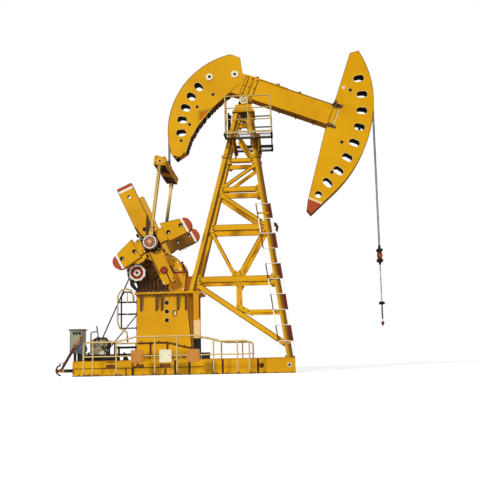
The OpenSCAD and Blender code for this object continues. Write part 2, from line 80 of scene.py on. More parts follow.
def side(x, yo, z, s=-1):
    """Point of the leaning side frame; yo below 0 is outward, s is -1 near and 1 far."""
    y = -0.676 + yo * math.cos(SL) + (z - 0.4) * math.sin(SL)
    return Vector((x, y if s < 0 else -y, 0.4 - yo * math.sin(SL) + (z - 0.4) * math.cos(SL)))


def beam_p(x, y, z):
    c, s = math.cos(TILT), math.sin(TILT)
    return Vector((x * c + z * s, y, PZ - x * s + z * c))


def piv(x, y, z):
    return Vector((x, y, PZ + z))


def crank_p(u, v, y):
    c, s = math.cos(LEAN), math.sin(LEAN)
    return Vector((SH[0] - u * s + v * c, y, SH[1] + u * c + v * s))


# ---------------------------------------------------------------- materials
class Mat:
    def __init__(self, name):
        self.m = bpy.data.materials.new(name)
        self.m.use_nodes = True
        self.t = self.m.node_tree
        self.t.nodes.clear()
        self.out = self.n("OutputMaterial")
        self.b = self.n("BsdfPrincipled")
        self.t.links.new(self.b.outputs[0], self.out.inputs[0])
        self.co = self.n("TexCoord").outputs["Object"]

    def n(self, kind, **props):
        node = self.t.nodes.new("ShaderNode" + kind)
        for k, v in props.items():
            setattr(node, k, v)
        return node

    def put(self, sock, v):
        if isinstance(v, bpy.types.NodeSocket):
            self.t.links.new(v, sock)
        elif isinstance(v, (tuple, list)) and len(v) == 3 and sock.type == "RGBA":
            sock.default_value = (*v, 1)
        else:
            sock.default_value = v

    def map(self, scale=(1, 1, 1), rot=(0, 0, 0), loc=(0, 0, 0)):
        m = self.n("Mapping")
        self.put(m.inputs[0], self.co)
        m.inputs[1].default_value = loc
        m.inputs[2].default_value = rot
        m.inputs[3].default_value = scale
        return m.outputs[0]

    def noise(self, scale, detail=3, rough=0.55, vec=None, dist=0.0):
        x = self.n("TexNoise")
        self.put(x.inputs["Vector"], vec or self.co)
        x.inputs["Scale"].default_value = scale
        x.inputs["Detail"].default_value = detail
        x.inputs["Roughness"].default_value = rough
        x.inputs["Distortion"].default_value = dist
        return x.outputs[0]

    def rng(self, v, a, b, c=0.0, d=1.0, smooth=True):
        x = self.n("MapRange", interpolation_type="SMOOTHSTEP" if smooth else "LINEAR")
        self.put(x.inputs[0], v)
        for i, k in enumerate((a, b, c, d)):
            x.inputs[i + 1].default_value = k
        return x.outputs[0]

    def math(self, op, a, b=0.0):
        x = self.n("Math", operation=op)
        self.put(x.inputs[0], a)
        self.put(x.inputs[1], b)
        return x.outputs[0]

    def mix(self, f, a, b, kind="MIX"):
        x = self.n("Mix", data_type="RGBA", blend_type=kind)
        self.put(x.inputs[0], f)
        self.put(x.inputs[6], a)
        self.put(x.inputs[7], b)
        return x.outputs[2]

    def xyz(self, vec=None):
        x = self.n("SeparateXYZ")
        self.put(x.inputs[0], vec or self.co)
        return x.outputs

    def edge(self, radius=0.01):
        """1 on worn edges, 0 on flats."""
        bv = self.n("Bevel", samples=4)
        bv.inputs[0].default_value = radius
        g = self.n("NewGeometry")
        d = self.n("VectorMath", operation="DOT_PRODUCT")
        self.put(d.inputs[0], bv.outputs[0])
        self.put(d.inputs[1], g.outputs["Normal"])
        return self.math("SUBTRACT", 1.0, d.outputs["Value"])

    def cavity(self, dist=0.12):
        a = self.n("AmbientOcclusion", samples=6)
        a.inputs["Distance"].default_value = dist
        return a.outputs["AO"]

    def bump(self, h, strength=0.2, dist=0.002, bevel=0.0):
        x = self.n("Bump")
        x.inputs["Strength"].default_value = strength
        x.inputs["Distance"].default_value = dist
        self.put(x.inputs["Height"], h)
        if bevel:
            bv = self.n("Bevel", samples=4)
            bv.inputs[0].default_value = bevel
            self.put(x.inputs["Normal"], bv.outputs[0])
        self.put(self.b.inputs["Normal"], x.outputs[0])


YEL = (0.75, 0.383, 0.0008)
BROWN = (0.060, 0.018, 0.003)
BRICK = (0.43, 0.070, 0.022)
CREAM = (0.86, 0.74, 0.47)
WHITE = (0.86, 0.84, 0.78)


def line_mask(m, vec_dot, a, b):
    """1 where a < v < b, with crisp edges."""
    lo = m.rng(vec_dot, a - 0.002, a + 0.002)
    hi = m.rng(vec_dot, b - 0.002, b + 0.002, 1, 0)
    return m.math("MULTIPLY", lo, hi)


def along(m, direction, origin):
    """Distance along a direction from an origin, as a socket."""
    d = m.n("VectorMath", operation="DOT_PRODUCT")
    s = m.n("VectorMath", operation="SUBTRACT")
    m.put(s.inputs[0], m.co)
    s.inputs[1].default_value = origin
    m.put(d.inputs[0], s.outputs[0])
    d.inputs[1].default_value = direction
    return d.outputs["Value"]


def paint(name, base=YEL, base2=None, dirt_and_shade=BROWN, grime_and_shade_amount=0.75, wear=(0.84, 0.62, 0.22), worn=0.18, rough=0.42,
          bevel=0.006, overlay=None, grime_and_shade_reach=0.10, streaks=0.20, fade=0.22):
    """Weathered enamel paint: broad fading, fine mottling, run-down streaks, specks,
    painted shade with grime darkening the corners, rubbed edges, and a slight orange peel."""
    m = Mat(name)
    base2 = base2 or tuple(c * k for c, k in zip(base, (0.84, 0.76, 0.70)))
    col = m.mix(m.rng(m.noise(0.75, 4, 0.6), 0.35, 0.75), base, base2)
    pale = tuple(min(1, c * 1.12) for c in base)
    col = m.mix(m.math("MULTIPLY", m.rng(m.noise(3.1, 5, 0.65), 0.45, 0.8), fade), col, pale)
    if overlay:
        col = overlay(m, col)
    # vertical streaks
    st = m.noise(1.0, 4, 0.6, m.map((11, 11, 0.55)))
    col = m.mix(m.math("MULTIPLY", m.rng(st, 0.56, 0.80), streaks), col, tuple(0.42 * c + 0.010 for c in base2))
    # specks of dust and chips
    sp = m.noise(46, 2, 0.7)
    col = m.mix(m.math("MULTIPLY", m.rng(sp, 0.66, 0.76), 0.35), col, tuple(0.5 * c + 0.01 for c in base2))
    # darker in the corners: painted shade with grime
    ao = m.cavity(grime_and_shade_reach)
    g = m.math("MULTIPLY", m.rng(ao, 0.30, 0.88, 1, 0), grime_and_shade_amount)
    g = m.math("MULTIPLY", g, m.rng(m.noise(6, 4, 0.7), 0.2, 0.75, 0.55, 1.0))
    col = m.mix(g, col, dirt_and_shade)
    # rubbed edges
    e = m.rng(m.edge(bevel * 1.6), 0.02, 0.16)
    e = m.math("MULTIPLY", e, m.rng(m.noise(9, 4, 0.7), 0.42, 0.66))
    col = m.mix(m.math("MULTIPLY", e, worn), col, wear)
    m.put(m.b.inputs["Base Color"], col)
    m.put(m.b.inputs["Roughness"], m.rng(m.noise(5, 4, 0.6), 0.2, 0.8, rough - 0.08, rough + 0.16, False))
    m.b.inputs["Specular IOR Level"].default_value = 0.07
    peel = m.math("ADD", m.noise(90, 2, 0.5), m.math("MULTIPLY", m.noise(14, 3, 0.5), 0.8))
    m.bump(peel, 0.22, 0.0015, bevel)
    return m.m


def metal(name, base=(0.30, 0.30, 0.31), rough=0.38, metallic=0.9, dirt_and_shade=(0.03, 0.02, 0.012), grime_and_shade_amount=0.5, scale=30, bevel=0.003):
    m = Mat(name)
    col = m.mix(m.rng(m.noise(4, 4, 0.6), 0.35, 0.7), base, tuple(c * 0.72 for c in base))
    col = m.mix(m.math("MULTIPLY", m.rng(m.noise(scale, 3, 0.7), 0.55, 0.75), 0.5), col, dirt_and_shade)
    # darker in the crevices: painted shade with grime
    ao = m.cavity(0.05)
    col = m.mix(m.math("MULTIPLY", m.rng(ao, 0.3, 0.9, 1, 0), grime_and_shade_amount), col, dirt_and_shade)
    m.put(m.b.inputs["Base Color"], col)
    m.b.inputs["Metallic"].default_value = metallic
    m.put(m.b.inputs["Roughness"], m.rng(m.noise(9, 4, 0.6), 0.2, 0.8, rough - 0.08, rough + 0.2, False))
    m.bump(m.noise(120, 3, 0.6), 0.25, 0.0012, bevel)
    return m.m


def rubber(name, base=(0.014, 0.013, 0.013)):
    m = Mat(name)
    col = m.mix(m.rng(m.noise(22, 4, 0.6), 0.4, 0.75), base, tuple(c * 2.6 + 0.004 for c in base))
    m.put(m.b.inputs["Base Color"], col)
    m.put(m.b.inputs["Roughness"], m.rng(m.noise(12, 3, 0.6), 0.2, 0.8, 0.55, 0.85, False))
    m.bump(m.noise(160, 3, 0.6), 0.3, 0.001)
    return m.m


def wire(name, base=(0.055, 0.055, 0.06), axis="z", pale=None):
    """Laid wire rope: slanted strands from a wave along the rope."""
    m = Mat(name)
    x, y, z = m.xyz()
    w = m.n("TexWave", wave_type="BANDS", bands_direction="DIAGONAL")
    m.put(w.inputs[0], m.map((1, 1, 1)))
    w.inputs["Scale"].default_value = 22
    w.inputs["Distortion"].default_value = 0.6
    w.inputs["Detail"].default_value = 1
    col = m.mix(m.rng(w.outputs[1], 0.25, 0.75), tuple(c * 0.45 for c in base), base)
    if pale:
        col = m.mix(m.rng(z, 6.2, 4.4), col, m.mix(m.rng(w.outputs[1], 0.25, 0.75), tuple(c * 0.6 for c in pale), pale))
    col = m.mix(m.math("MULTIPLY", m.rng(m.noise(7, 3, 0.6), 0.5, 0.75), 0.4), col, (0.03, 0.022, 0.015))
    m.put(m.b.inputs["Base Color"], col)
    m.b.inputs["Metallic"].default_value = 0.45
    m.put(m.b.inputs["Roughness"], m.rng(m.noise(30, 3, 0.6), 0.2, 0.8, 0.4, 0.7, False))
    m.bump(w.outputs[1], 0.7, 0.003)
    return m.m


def crank_marks(m, col):
    """Brick-red tip with a cream line on the near crank arm; the far arm gets a darker orange as painted shade."""
    u = along(m, (-math.sin(LEAN), 0, math.cos(LEAN)), (SH[0], 0, SH[1]))
    y = m.xyz()[1]
    near = m.rng(y, -0.01, 0.01, 1, 0)
    col = m.mix(m.math("SUBTRACT", 1.0, near), col, (0.60, 0.32, 0.025))
    col = m.mix(m.math("MULTIPLY", line_mask(m, u, 2.355, 2.412), near), col, WHITE)
    return m.mix(m.math("MULTIPLY", m.rng(u, 2.410, 2.414), near), col, BRICK)


def weight_marks(m, col):
    t = LEAN + math.radians(3.5)
    c = crank_p(0.81, 0.025, 0)
    v = along(m, (math.cos(t), 0, math.sin(t)), (c.x, 0, c.z))
    a = m.math("ABSOLUTE", v)
    # one far weight is darkened brown: painted shadow
    far = m.math("MULTIPLY", m.rng(m.xyz()[1], -0.01, 0.01), m.rng(v, -0.01, 0.01))
    col = m.mix(m.math("MULTIPLY", far, 0.82), col, (0.12, 0.045, 0.007))
    col = m.mix(line_mask(m, a, 0.945, 1.0), col, WHITE)
    return m.mix(m.rng(a, 0.998, 1.002), col, BRICK)


def front_tip(m, col):
    """Cream line and red tip: across the lower end of the front head."""
    u = along(m, (-0.42, 0, -0.907), (2.02, 0, PZ - 2.90))
    col = m.mix(line_mask(m, u, 0.00, 0.055), col, (0.80, 0.62, 0.33))
    return m.mix(m.rng(u, 0.053, 0.058), col, BRICK)


def far_dark(m, col):
    """Painted shade: the far pitman darkens toward its lower end."""
    x, y, z = m.xyz()
    f = m.math("MULTIPLY", m.rng(y, -0.01, 0.01), m.rng(z, 5.3, 4.2))
    return m.mix(f, col, (0.035, 0.016, 0.006))


def leg_shade(m, col):
    """Painted shade on the legs: the right leg darkens to its right edge, the left has a dark band, and both darken
    under the platform.
    """
    x, y, z = m.xyz()
    r = m.math("SUBTRACT", x, m.math("MULTIPLY", z, -0.138))
    r = m.math("SUBTRACT", r, 0.160 + 0.138 * 7.030)
    f = m.math("MULTIPLY", m.rng(r, -0.07, 0.025), m.rng(r, -0.20, -0.19))
    col = m.mix(m.math("MULTIPLY", f, 0.92), col, (0.15, 0.060, 0.005))
    l = m.math("SUBTRACT", x, m.math("MULTIPLY", z, 0.2575))
    l = m.math("SUBTRACT", l, -0.590 - 0.2575 * 5.820)
    col = m.mix(m.math("MULTIPLY", line_mask(m, l, 0.112, 0.20), 0.85), col, (0.15, 0.058, 0.006))
    return m.mix(m.math("MULTIPLY", line_mask(m, z, 6.02, 6.25), 0.75), col, (0.14, 0.050, 0.006))


def rib_shade(m, col):
    """Painted shade: the ribs of the pedestal are dark brown."""
    x, y, z = m.xyz()
    f = m.math("MULTIPLY", m.rng(m.math("ABSOLUTE", y), 0.582, 0.585), m.rng(z, 0.495, 0.505))
    return m.mix(f, col, (0.165, 0.060, 0.008))


def gear_zones(m, col):
    """The gearbox: dark on the left as painted shade, yellow around the shaft, orange at the right end."""
    x = m.xyz()[0]
    col = m.mix(m.rng(x, -2.12, -2.04), col, (0.74, 0.365, 0.002))
    return m.mix(m.rng(x, -2.03, -2.01), col, (0.70, 0.30, 0.010))


def post_bands(m, col):
    """Rear posts: orange above, a faded peach band, black at the foot."""
    z = m.xyz()[2]
    col = m.mix(m.rng(z, 1.40, 1.38), col, (0.86, 0.56, 0.25))
    return m.mix(m.rng(z, 0.94, 0.92), col, (0.012, 0.009, 0.008))


def rear_tip(m, col):
    u = along(m, (-0.25, 0, -0.968), (-1.78, 0, PZ - 1.42))
    col = m.mix(m.rng(u, 0.10, 0.11), col, (0.012, 0.009, 0.008))
    y = m.math("ABSOLUTE", m.xyz()[1])
    for px, pz in ((-0.95, 0.74), (-0.24, 0.79)):
        d = m.n("VectorMath", operation="MULTIPLY_ADD")
        m.put(d.inputs[0], m.co)
        d.inputs[1].default_value = (1, 0, 1)
        d.inputs[2].default_value = (-px, 0, -(PZ + pz))
        l = m.n("VectorMath", operation="LENGTH")
        m.put(l.inputs[0], d.outputs[0])
        f = m.math("MULTIPLY", m.rng(l.outputs["Value"], 0.0965, 0.0985, 1, 0), m.rng(y, 0.1995, 0.2005))
        col = m.mix(f, col, (0.88, 0.80, 0.60))
    return col


M_YEL = paint("yellow_enamel")
M_YEL_HEAD = paint("head_enamel", base=(0.755, 0.387, 0.0006), overlay=front_tip, streaks=0.10)
M_YEL_REAR = paint("rear_head_enamel", base=(0.755, 0.387, 0.0006), overlay=rear_tip, streaks=0.10)
M_YEL_LIT = paint("tower_enamel", base=(0.74, 0.39, 0.002), streaks=0.14)
M_LEGS = paint("tower_leg_enamel", base=(0.74, 0.39, 0.002), streaks=0.14, overlay=leg_shade)
M_POST = paint("rear_post_enamel", base=(0.72, 0.33, 0.006), overlay=post_bands, grime_and_shade_reach=0.05)
M_PED = paint("pedestal_enamel", base=(0.735, 0.366, 0.0008), streaks=0.22, overlay=rib_shade)
# the dark brown base of the gearbox is painted shade; gear_zones brings yellow and orange in on the right
M_GEAR = paint("gearbox_enamel", base=(0.12, 0.042, 0.006), base2=(0.06, 0.020, 0.004), grime_and_shade_amount=0.7, streaks=0.2, worn=0.08, overlay=gear_zones)
M_ORANGE = paint("orange_enamel", base=(0.80, 0.34, 0.012))
M_CRANK = paint("crank_enamel", base=(0.75, 0.378, 0.0008), overlay=crank_marks)
M_WEIGHT = paint("weight_enamel", base=(0.76, 0.387, 0.0008), overlay=weight_marks)
M_RED = paint("brick_enamel", base=BRICK, base2=(0.27, 0.035, 0.012), wear=(0.75, 0.45, 0.30), dirt_and_shade=(0.03, 0.01, 0.006))
M_DRED = paint("dark_red_enamel", base=(0.20, 0.022, 0.012), base2=(0.11, 0.012, 0.008), wear=(0.6, 0.35, 0.25), dirt_and_shade=(0.02, 0.008, 0.006))
M_CREAM = paint("cream_enamel", base=CREAM, base2=(0.70, 0.56, 0.30), dirt_and_shade=(0.16, 0.09, 0.035), wear=(0.9, 0.85, 0.7), grime_and_shade_amount=0.6)
M_WHITE = paint("white_enamel", base=WHITE, base2=(0.72, 0.68, 0.58), dirt_and_shade=(0.12, 0.07, 0.03), wear=(0.5, 0.3, 0.15), grime_and_shade_amount=0.6)
M_PIT = paint("pitman_enamel", base=(0.80, 0.58, 0.19), base2=(0.66, 0.44, 0.11), dirt_and_shade=(0.10, 0.05, 0.015), wear=(0.9, 0.8, 0.55), grime_and_shade_amount=0.6, overlay=far_dark)
M_TAN = paint("tan_enamel", base=(0.66, 0.47, 0.16), base2=(0.50, 0.34, 0.10), dirt_and_shade=(0.10, 0.05, 0.015), wear=(0.85, 0.75, 0.5), grime_and_shade_amount=0.6, bevel=0.002)
M_GREY = paint("cabinet_enamel", base=(0.33, 0.33, 0.235), base2=(0.26, 0.26, 0.19), dirt_and_shade=(0.03, 0.03, 0.02), wear=(0.6, 0.6, 0.5), grime_and_shade_amount=0.6)
M_GREY3 = paint("cabinet_panel_enamel", base=(0.47, 0.46, 0.40), base2=(0.38, 0.37, 0.32), dirt_and_shade=(0.05, 0.05, 0.04), wear=(0.6, 0.6, 0.5), grime_and_shade_amount=0.5)
M_GREY2 = paint("cabinet_roof_enamel", base=(0.16, 0.16, 0.13), dirt_and_shade=(0.02, 0.02, 0.015), wear=(0.5, 0.5, 0.4))
M_MOTOR = paint("motor_enamel", base=(0.62, 0.61, 0.47), base2=(0.50, 0.49, 0.38), dirt_and_shade=(0.05, 0.05, 0.038), wear=(0.7, 0.7, 0.6), grime_and_shade_amount=0.5, grime_and_shade_reach=0.03)
M_MOTOR2 = paint("motor_cowl_enamel", base=(0.085, 0.115, 0.15), base2=(0.055, 0.075, 0.10), dirt_and_shade=(0.02, 0.02, 0.02), wear=(0.4, 0.45, 0.5))
M_BLACK = paint("black_enamel", base=(0.016, 0.014, 0.013), base2=(0.008, 0.008, 0.008), dirt_and_shade=(0.03, 0.018, 0.01), wear=(0.12, 0.11, 0.10), grime_and_shade_amount=0.4)
M_DARKBR = paint("dark_brown_enamel", base=(0.075, 0.026, 0.009), base2=(0.04, 0.013, 0.006), dirt_and_shade=(0.015, 0.007, 0.004), wear=(0.25, 0.11, 0.04), worn=0.1)
M_PLATE = paint("ochre_plate_enamel", base=(0.62, 0.26, 0.045), base2=(0.52, 0.21, 0.04), wear=(0.35, 0.12, 0.02), grime_and_shade_amount=0.5)
M_PLATE2 = paint("cream_plate_enamel", base=(0.90, 0.82, 0.58), base2=(0.82, 0.70, 0.44), wear=(0.45, 0.35, 0.2), dirt_and_shade=(0.25, 0.18, 0.09), grime_and_shade_amount=0.7)
M_RAIL = paint("near_rail_enamel", base=(0.74, 0.55, 0.22), base2=(0.62, 0.43, 0.14), dirt_and_shade=(0.16, 0.09, 0.03), wear=(0.9, 0.85, 0.7), grime_and_shade_amount=0.5)
M_BASE = paint("base_plate_enamel", base=(0.75, 0.383, 0.0008), streaks=0.12, grime_and_shade_reach=0.03, grime_and_shade_amount=0.5)
# dark brown for the platform brackets and the recess patches on the base: painted shade
M_BROWN = paint("recess_enamel", base=(0.20, 0.075, 0.010), base2=(0.12, 0.042, 0.007), dirt_and_shade=(0.04, 0.014, 0.005), worn=0.0)
M_STEEL = metal("bright_steel")
M_ROD = metal("polished_rod_steel", base=(0.42, 0.42, 0.43), rough=0.3)
M_IRON = metal("dark_iron", base=(0.035, 0.032, 0.030), rough=0.6, metallic=0.5)
M_BOLT = metal("bolt_steel", base=(0.09, 0.06, 0.04), rough=0.55, metallic=0.6)
M_PALEBOLT = metal("zinc_bolt_steel", base=(0.75, 0.73, 0.66), rough=0.4, metallic=0.35)
M_RUB = rubber("belt_rubber")
M_WIRE = wire("wire_rope", (0.055, 0.055, 0.06), pale=(0.24, 0.24, 0.25))
M_WIRE2 = wire("dark_wire_rope", (0.022, 0.020, 0.020))

LOOK = {
    "base_beams": M_YEL, "base_cross_members": M_YEL, "base_deck": M_YEL, "pedestal": M_PED, "pedestal_top": M_YEL,
    "rear_posts": M_POST, "tower_legs": M_LEGS, "tower_crossbars": M_YEL_LIT, "tower_braces": M_YEL_LIT,
    "tower_ties": M_YEL_LIT, "tower_cap": M_YEL, "saddle": M_YEL, "platform_brackets": M_BROWN, "platform_decks": M_YEL,
    "platform_rails": M_TAN, "tower_ladder": M_DRED, "gearbox": M_GEAR, "brake_drum": M_RED, "driven_sheave": M_IRON,
    "drive_belts": M_RUB, "motor_sheave": M_IRON, "motor": M_MOTOR, "motor_seat": M_BLACK, "control_cabinet": M_GREY,
    "brake_quadrant": M_DARKBR, "pedestal_ladder": M_TAN, "guard_rails": M_RAIL, "guard_rail_feet": M_CREAM,
    "sign_plates": M_PLATE, "crank_shaft": M_RED, "cranks": M_CRANK, "counterweights": M_WEIGHT, "wrist_pins": M_CREAM,
    "pitmans": M_PIT, "equaliser": M_YEL, "rear_rope_tail": M_WIRE2, "walking_beam": M_YEL, "beam_bearing": M_YEL,
    "front_head": M_YEL_HEAD, "rear_head": M_YEL_REAR, "wrapped_ropes": M_WIRE, "hanging_ropes": M_WIRE,
    "carrier_bar": M_DARKBR, "polished_rod": M_ROD, "brake_lever": M_DARKBR,
}
for name, obj in NODES.items():
    for s in obj.material_slots:
        s.material = LOOK[name]


# ---------------------------------------------------------------- camera, light, floor
cam = bpy.data.cameras.new("photo_camera")
cam_o = bpy.data.objects.new("photo_camera", cam)
scene.collection.objects.link(cam_o)
cam.sensor_width = 36.0
cam.lens = 57.375
cam.clip_end = 400
cx = Vector((0.99833115, 0.05424288, -0.0198148))
cy = -Vector((-0.02749082, 0.14464768, -0.98910126))
cz = -Vector((-0.05078554, 0.98799532, 0.14589747))
eye = Vector((0.862468, -20.586221, 0.528601))
cam_o.matrix_world = Matrix((
    (cx[0], cy[0], cz[0], eye[0]), (cx[1], cy[1], cz[1], eye[1]), (cx[2], cy[2], cz[2], eye[2]), (0, 0, 0, 1)))
scene.camera = cam_o

floor_m = bpy.data.meshes.new("floor")
floor_m.from_pydata([(-150, -60, -0.002), (150, -60, -0.002), (150, 240, -0.002), (-150, 240, -0.002)], [], [(0, 1, 2, 3)])
floor = bpy.data.objects.new("floor", floor_m)
scene.collection.objects.link(floor)
fm = bpy.data.materials.new("pale_floor")
fm.use_nodes = True
ft = fm.node_tree
ft.nodes.clear()
dif = ft.nodes.new("ShaderNodeBsdfDiffuse")
dif.inputs[0].default_value = (0.80, 0.80, 0.80, 1)
low = ft.nodes.new("ShaderNodeBsdfDiffuse")
low.inputs[0].default_value = (0.16, 0.15, 0.14, 1)
glow = ft.nodes.new("ShaderNodeEmission")
glow.inputs[1].default_value = 0.56
addf = ft.nodes.new("ShaderNodeAddShader")
mixf = ft.nodes.new("ShaderNodeMixShader")
path = ft.nodes.new("ShaderNodeLightPath")
outf = ft.nodes.new("ShaderNodeOutputMaterial")
ft.links.new(dif.outputs[0], addf.inputs[0])
ft.links.new(glow.outputs[0], addf.inputs[1])
ft.links.new(path.outputs["Is Camera Ray"], mixf.inputs[0])
ft.links.new(low.outputs[0], mixf.inputs[1])
ft.links.new(addf.outputs[0], mixf.inputs[2])
ft.links.new(mixf.outputs[0], outf.inputs[0])
floor_m.materials.append(fm)

world = bpy.data.worlds.new("studio")
scene.world = world
world.use_nodes = True
wt = world.node_tree
bg = wt.nodes["Background"]
bg.inputs[0].default_value = (1, 1, 1, 1)
wp = wt.nodes.new("ShaderNodeLightPath")
wm = wt.nodes.new("ShaderNodeMapRange")
wm.inputs[3].default_value = 0.22
wm.inputs[4].default_value = 1.0
wt.links.new(wp.outputs["Is Camera Ray"], wm.inputs[0])
wt.links.new(wm.outputs[0], bg.inputs[1])


def sun(name, direction, strength, angle, color=(1, 1, 1)):
    l = bpy.data.lights.new(name, "SUN")
    l.energy = strength
    l.angle = math.radians(angle)
    l.color = color
    o = bpy.data.objects.new(name, l)
    scene.collection.objects.link(o)
    o.rotation_euler = (-Vector(direction)).to_track_quat("-Z", "Y").to_euler()
    return o


sun("key_light", (-0.62, -0.95, 0.55), 2.35, 9, (1.0, 0.99, 0.96))
front = sun("front_fill", (-0.10, -1.0, 0.10), 0.85, 20)
front.data.use_shadow = False
back = sun("back_fill", (0.05, 1.0, 0.20), 1.5, 20)
back.data.use_shadow = False
back.visible_glossy = False
end = sun("end_fill", (1.0, 0.10, 0.15), 0.45, 20)
end.data.use_shadow = False
end.visible_glossy = False

scene.view_settings.view_transform = "Standard"
scene.view_settings.look = "None"

# ---- detail start
# ---------------------------------------------------------------- mesh building
X, Y, Z = Vector((1, 0, 0)), Vector((0, 1, 0)), Vector((0, 0, 1))


def frame_of(n):
    n = Vector(n).normalized()
    a = n.cross(Z if abs(n.z) < 0.9 else X).normalized()
    return a, n.cross(a).normalized(), n


def round_path(pts, r, n=6):
    """Polyline with its corners rounded to radius r."""
    pts = [Vector(p) for p in pts]
    out = [pts[0]]
    for i in range(1, len(pts) - 1):
        a, b, c = pts[i - 1], pts[i], pts[i + 1]
        u, v = (a - b), (c - b)
        lu, lv = u.length, v.length
        u.normalize(); v.normalize()
        ang = u.angle(v)
        if ang > 3.1:
            out.append(b)
            continue
        t = min(r / math.tan(ang / 2), lu * 0.48, lv * 0.48)
        for k in range(n + 1):
            s = k / n
            p0, p1 = b + u * t, b + v * t
            out.append((1 - s) ** 2 * p0 + 2 * s * (1 - s) * b + s * s * p1)
    out.append(pts[-1])
    return out


class Mesh:
    """Faces of one joined piece; every face keeps its material's index."""

    def __init__(self):
        self.v, self.f, self.i = [], [], []

    def add(self, vs, fs, mi=0):
        n = len(self.v)
        self.v += [tuple(v) for v in vs]
        self.f += [tuple(a + n for a in f) for f in fs]
        self.i += [mi] * len(fs)
        return self

    def obox(self, c, ax, h, mi=0):
        c = Vector(c)
        vs = [c + ax[0] * (h[0] * i) + ax[1] * (h[1] * j) + ax[2] * (h[2] * k) for i in (-1, 1) for j in (-1, 1) for k in (-1, 1)]
        return self.add(vs, [(0, 1, 3, 2), (4, 6, 7, 5), (0, 4, 5, 1), (2, 3, 7, 6), (0, 2, 6, 4), (1, 5, 7, 3)], mi)

    def box(self, a, b, mi=0):
        a, b = Vector(a), Vector(b)
        return self.obox((a + b) / 2, (X, Y, Z), [abs(b[k] - a[k]) / 2 for k in range(3)], mi)

    def bar(self, p, q, w, t, up=Y, mi=0):
        """Flat bar from p to q, w wide across and t thick along up."""
        p, q = Vector(p), Vector(q)
        d = (q - p).normalized()
        u = (Vector(up) - d * d.dot(Vector(up))).normalized()
        return self.obox((p + q) / 2, (d, d.cross(u), u), ((q - p).length / 2, w / 2, t / 2), mi)

    def prism(self, pts, a, b, mi=0):
        """pts is a list of 3-D points of one face; a and b are the offsets of the two faces."""
        n = len(pts)
        a, b = Vector(a), Vector(b)
        vs = [Vector(p) + a for p in pts] + [Vector(p) + b for p in pts]
        fs = [tuple(range(n)), tuple(range(2 * n - 1, n - 1, -1))]
        fs += [(i, i + n, (i + 1) % n + n, (i + 1) % n) for i in range(n)]
        return self.add(vs, fs, mi)

    def ring_prism(self, outer, inner, a, b, mi=0):
        """Plate between two closed loops of the same count."""
        n = len(outer)
        a, b = Vector(a), Vector(b)
        vs = [Vector(p) + a for p in outer] + [Vector(p) + a for p in inner] + [Vector(p) + b for p in outer] + [Vector(p) + b for p in inner]
        fs = []
        for i in range(n):
            j = (i + 1) % n
            fs += [(i, j, j + n, i + n), (i + 2 * n, i + 3 * n, j + 3 * n, j + 2 * n), (i, i + 2 * n, j + 2 * n, j), (i + n, j + n, j + 3 * n, i + 3 * n)]
        return self.add(vs, fs, mi)

    def revolve(self, c, axis, prof, seg=32, mi=0, closed=False, wave=None):
        """Profile of (radius, height) turned about an axis through c."""
        a, b, n = frame_of(axis)
        c = Vector(c)
        vs, fs = [], []
        m = len(prof)
        for k in range(seg):
            t = 2 * math.pi * k / seg
            for q, (r, h) in enumerate(prof):
                rr = r + (wave(q, t) if wave else 0)
                vs.append(c + (a * math.cos(t) + b * math.sin(t)) * rr + n * h)
        for k in range(seg):
            k2 = (k + 1) % seg
            for q in range(m if closed else m - 1):
                q2 = (q + 1) % m
                fs.append((k * m + q, k2 * m + q, k2 * m + q2, k * m + q2))
        if not closed:
            for q in (0, m - 1):
                if prof[q][0] > 1e-6:
                    fs.append(tuple(k * m + q for k in range(seg)))
        return self.add(vs, fs, mi)

    def cyl(self, p, q, r, seg=20, mi=0, r2=None, ch=0.0):
        p, q = Vector(p), Vector(q)
        h = (q - p).length
        r2 = r if r2 is None else r2
        prof = [(r - ch, 0), (r, ch), (r2, h - ch), (r2 - ch, h)] if ch else [(r, 0), (r2, h)]
        return self.revolve(p, q - p, prof, seg, mi)

    def ring(self, c, axis, r0, r1, h, seg=40, mi=0, ch=0.002):
        return self.revolve(c, axis, [(r0, 0), (r1 - ch, 0), (r1, ch), (r1, h - ch), (r1 - ch, h), (r0 + ch, h), (r0, h - ch)], seg, mi, True)

    def tube(self, pts, r, seg=10, mi=0, closed=False):
        pts = [Vector(p) for p in pts]
        n = len(pts)
        vs, fs = [], []
        u = None
        for i, p in enumerate(pts):
            d = (pts[(i + 1) % n] - pts[i - 1]) if closed else (pts[min(i + 1, n - 1)] - pts[max(i - 1, 0)])
            d.normalize()
            if u is None:
                u = frame_of(d)[0]
            u = (u - d * d.dot(u)).normalized()
            w = d.cross(u)
            rr = r(i) if callable(r) else r
            vs += [p + (u * math.cos(2 * math.pi * k / seg) + w * math.sin(2 * math.pi * k / seg)) * rr for k in range(seg)]
        for i in range(n if closed else n - 1):
            j = (i + 1) % n
            fs += [(i * seg + k, i * seg + (k + 1) % seg, j * seg + (k + 1) % seg, j * seg + k) for k in range(seg)]
        if not closed:
            fs += [tuple(range(seg - 1, -1, -1)), tuple((n - 1) * seg + k for k in range(seg))]
        return self.add(vs, fs, mi)

    def bolt(self, p, n, s=0.015, mi=0, washer=True, nut=False):
        """Hexagon head (s is half across the corners) with washer, standing on p along n."""
        a, b, n = frame_of(n)
        p = Vector(p)
        if washer:
            self.revolve(p, n, [(s * 1.35, -0.001), (s * 1.35, s * 0.18), (s * 1.2, s * 0.26)], 14, mi)
        h = s * (1.5 if nut else 1.05)
        self.revolve(p + n * s * 0.2, n, [(s, 0), (s, h * 0.85), (s * 0.85, h)], 6, mi)
        if nut:
            self.cyl(p + n * s * 0.2, p + n * (s * 0.2 + h * 1.5), s * 0.55, 10, mi)
        return self


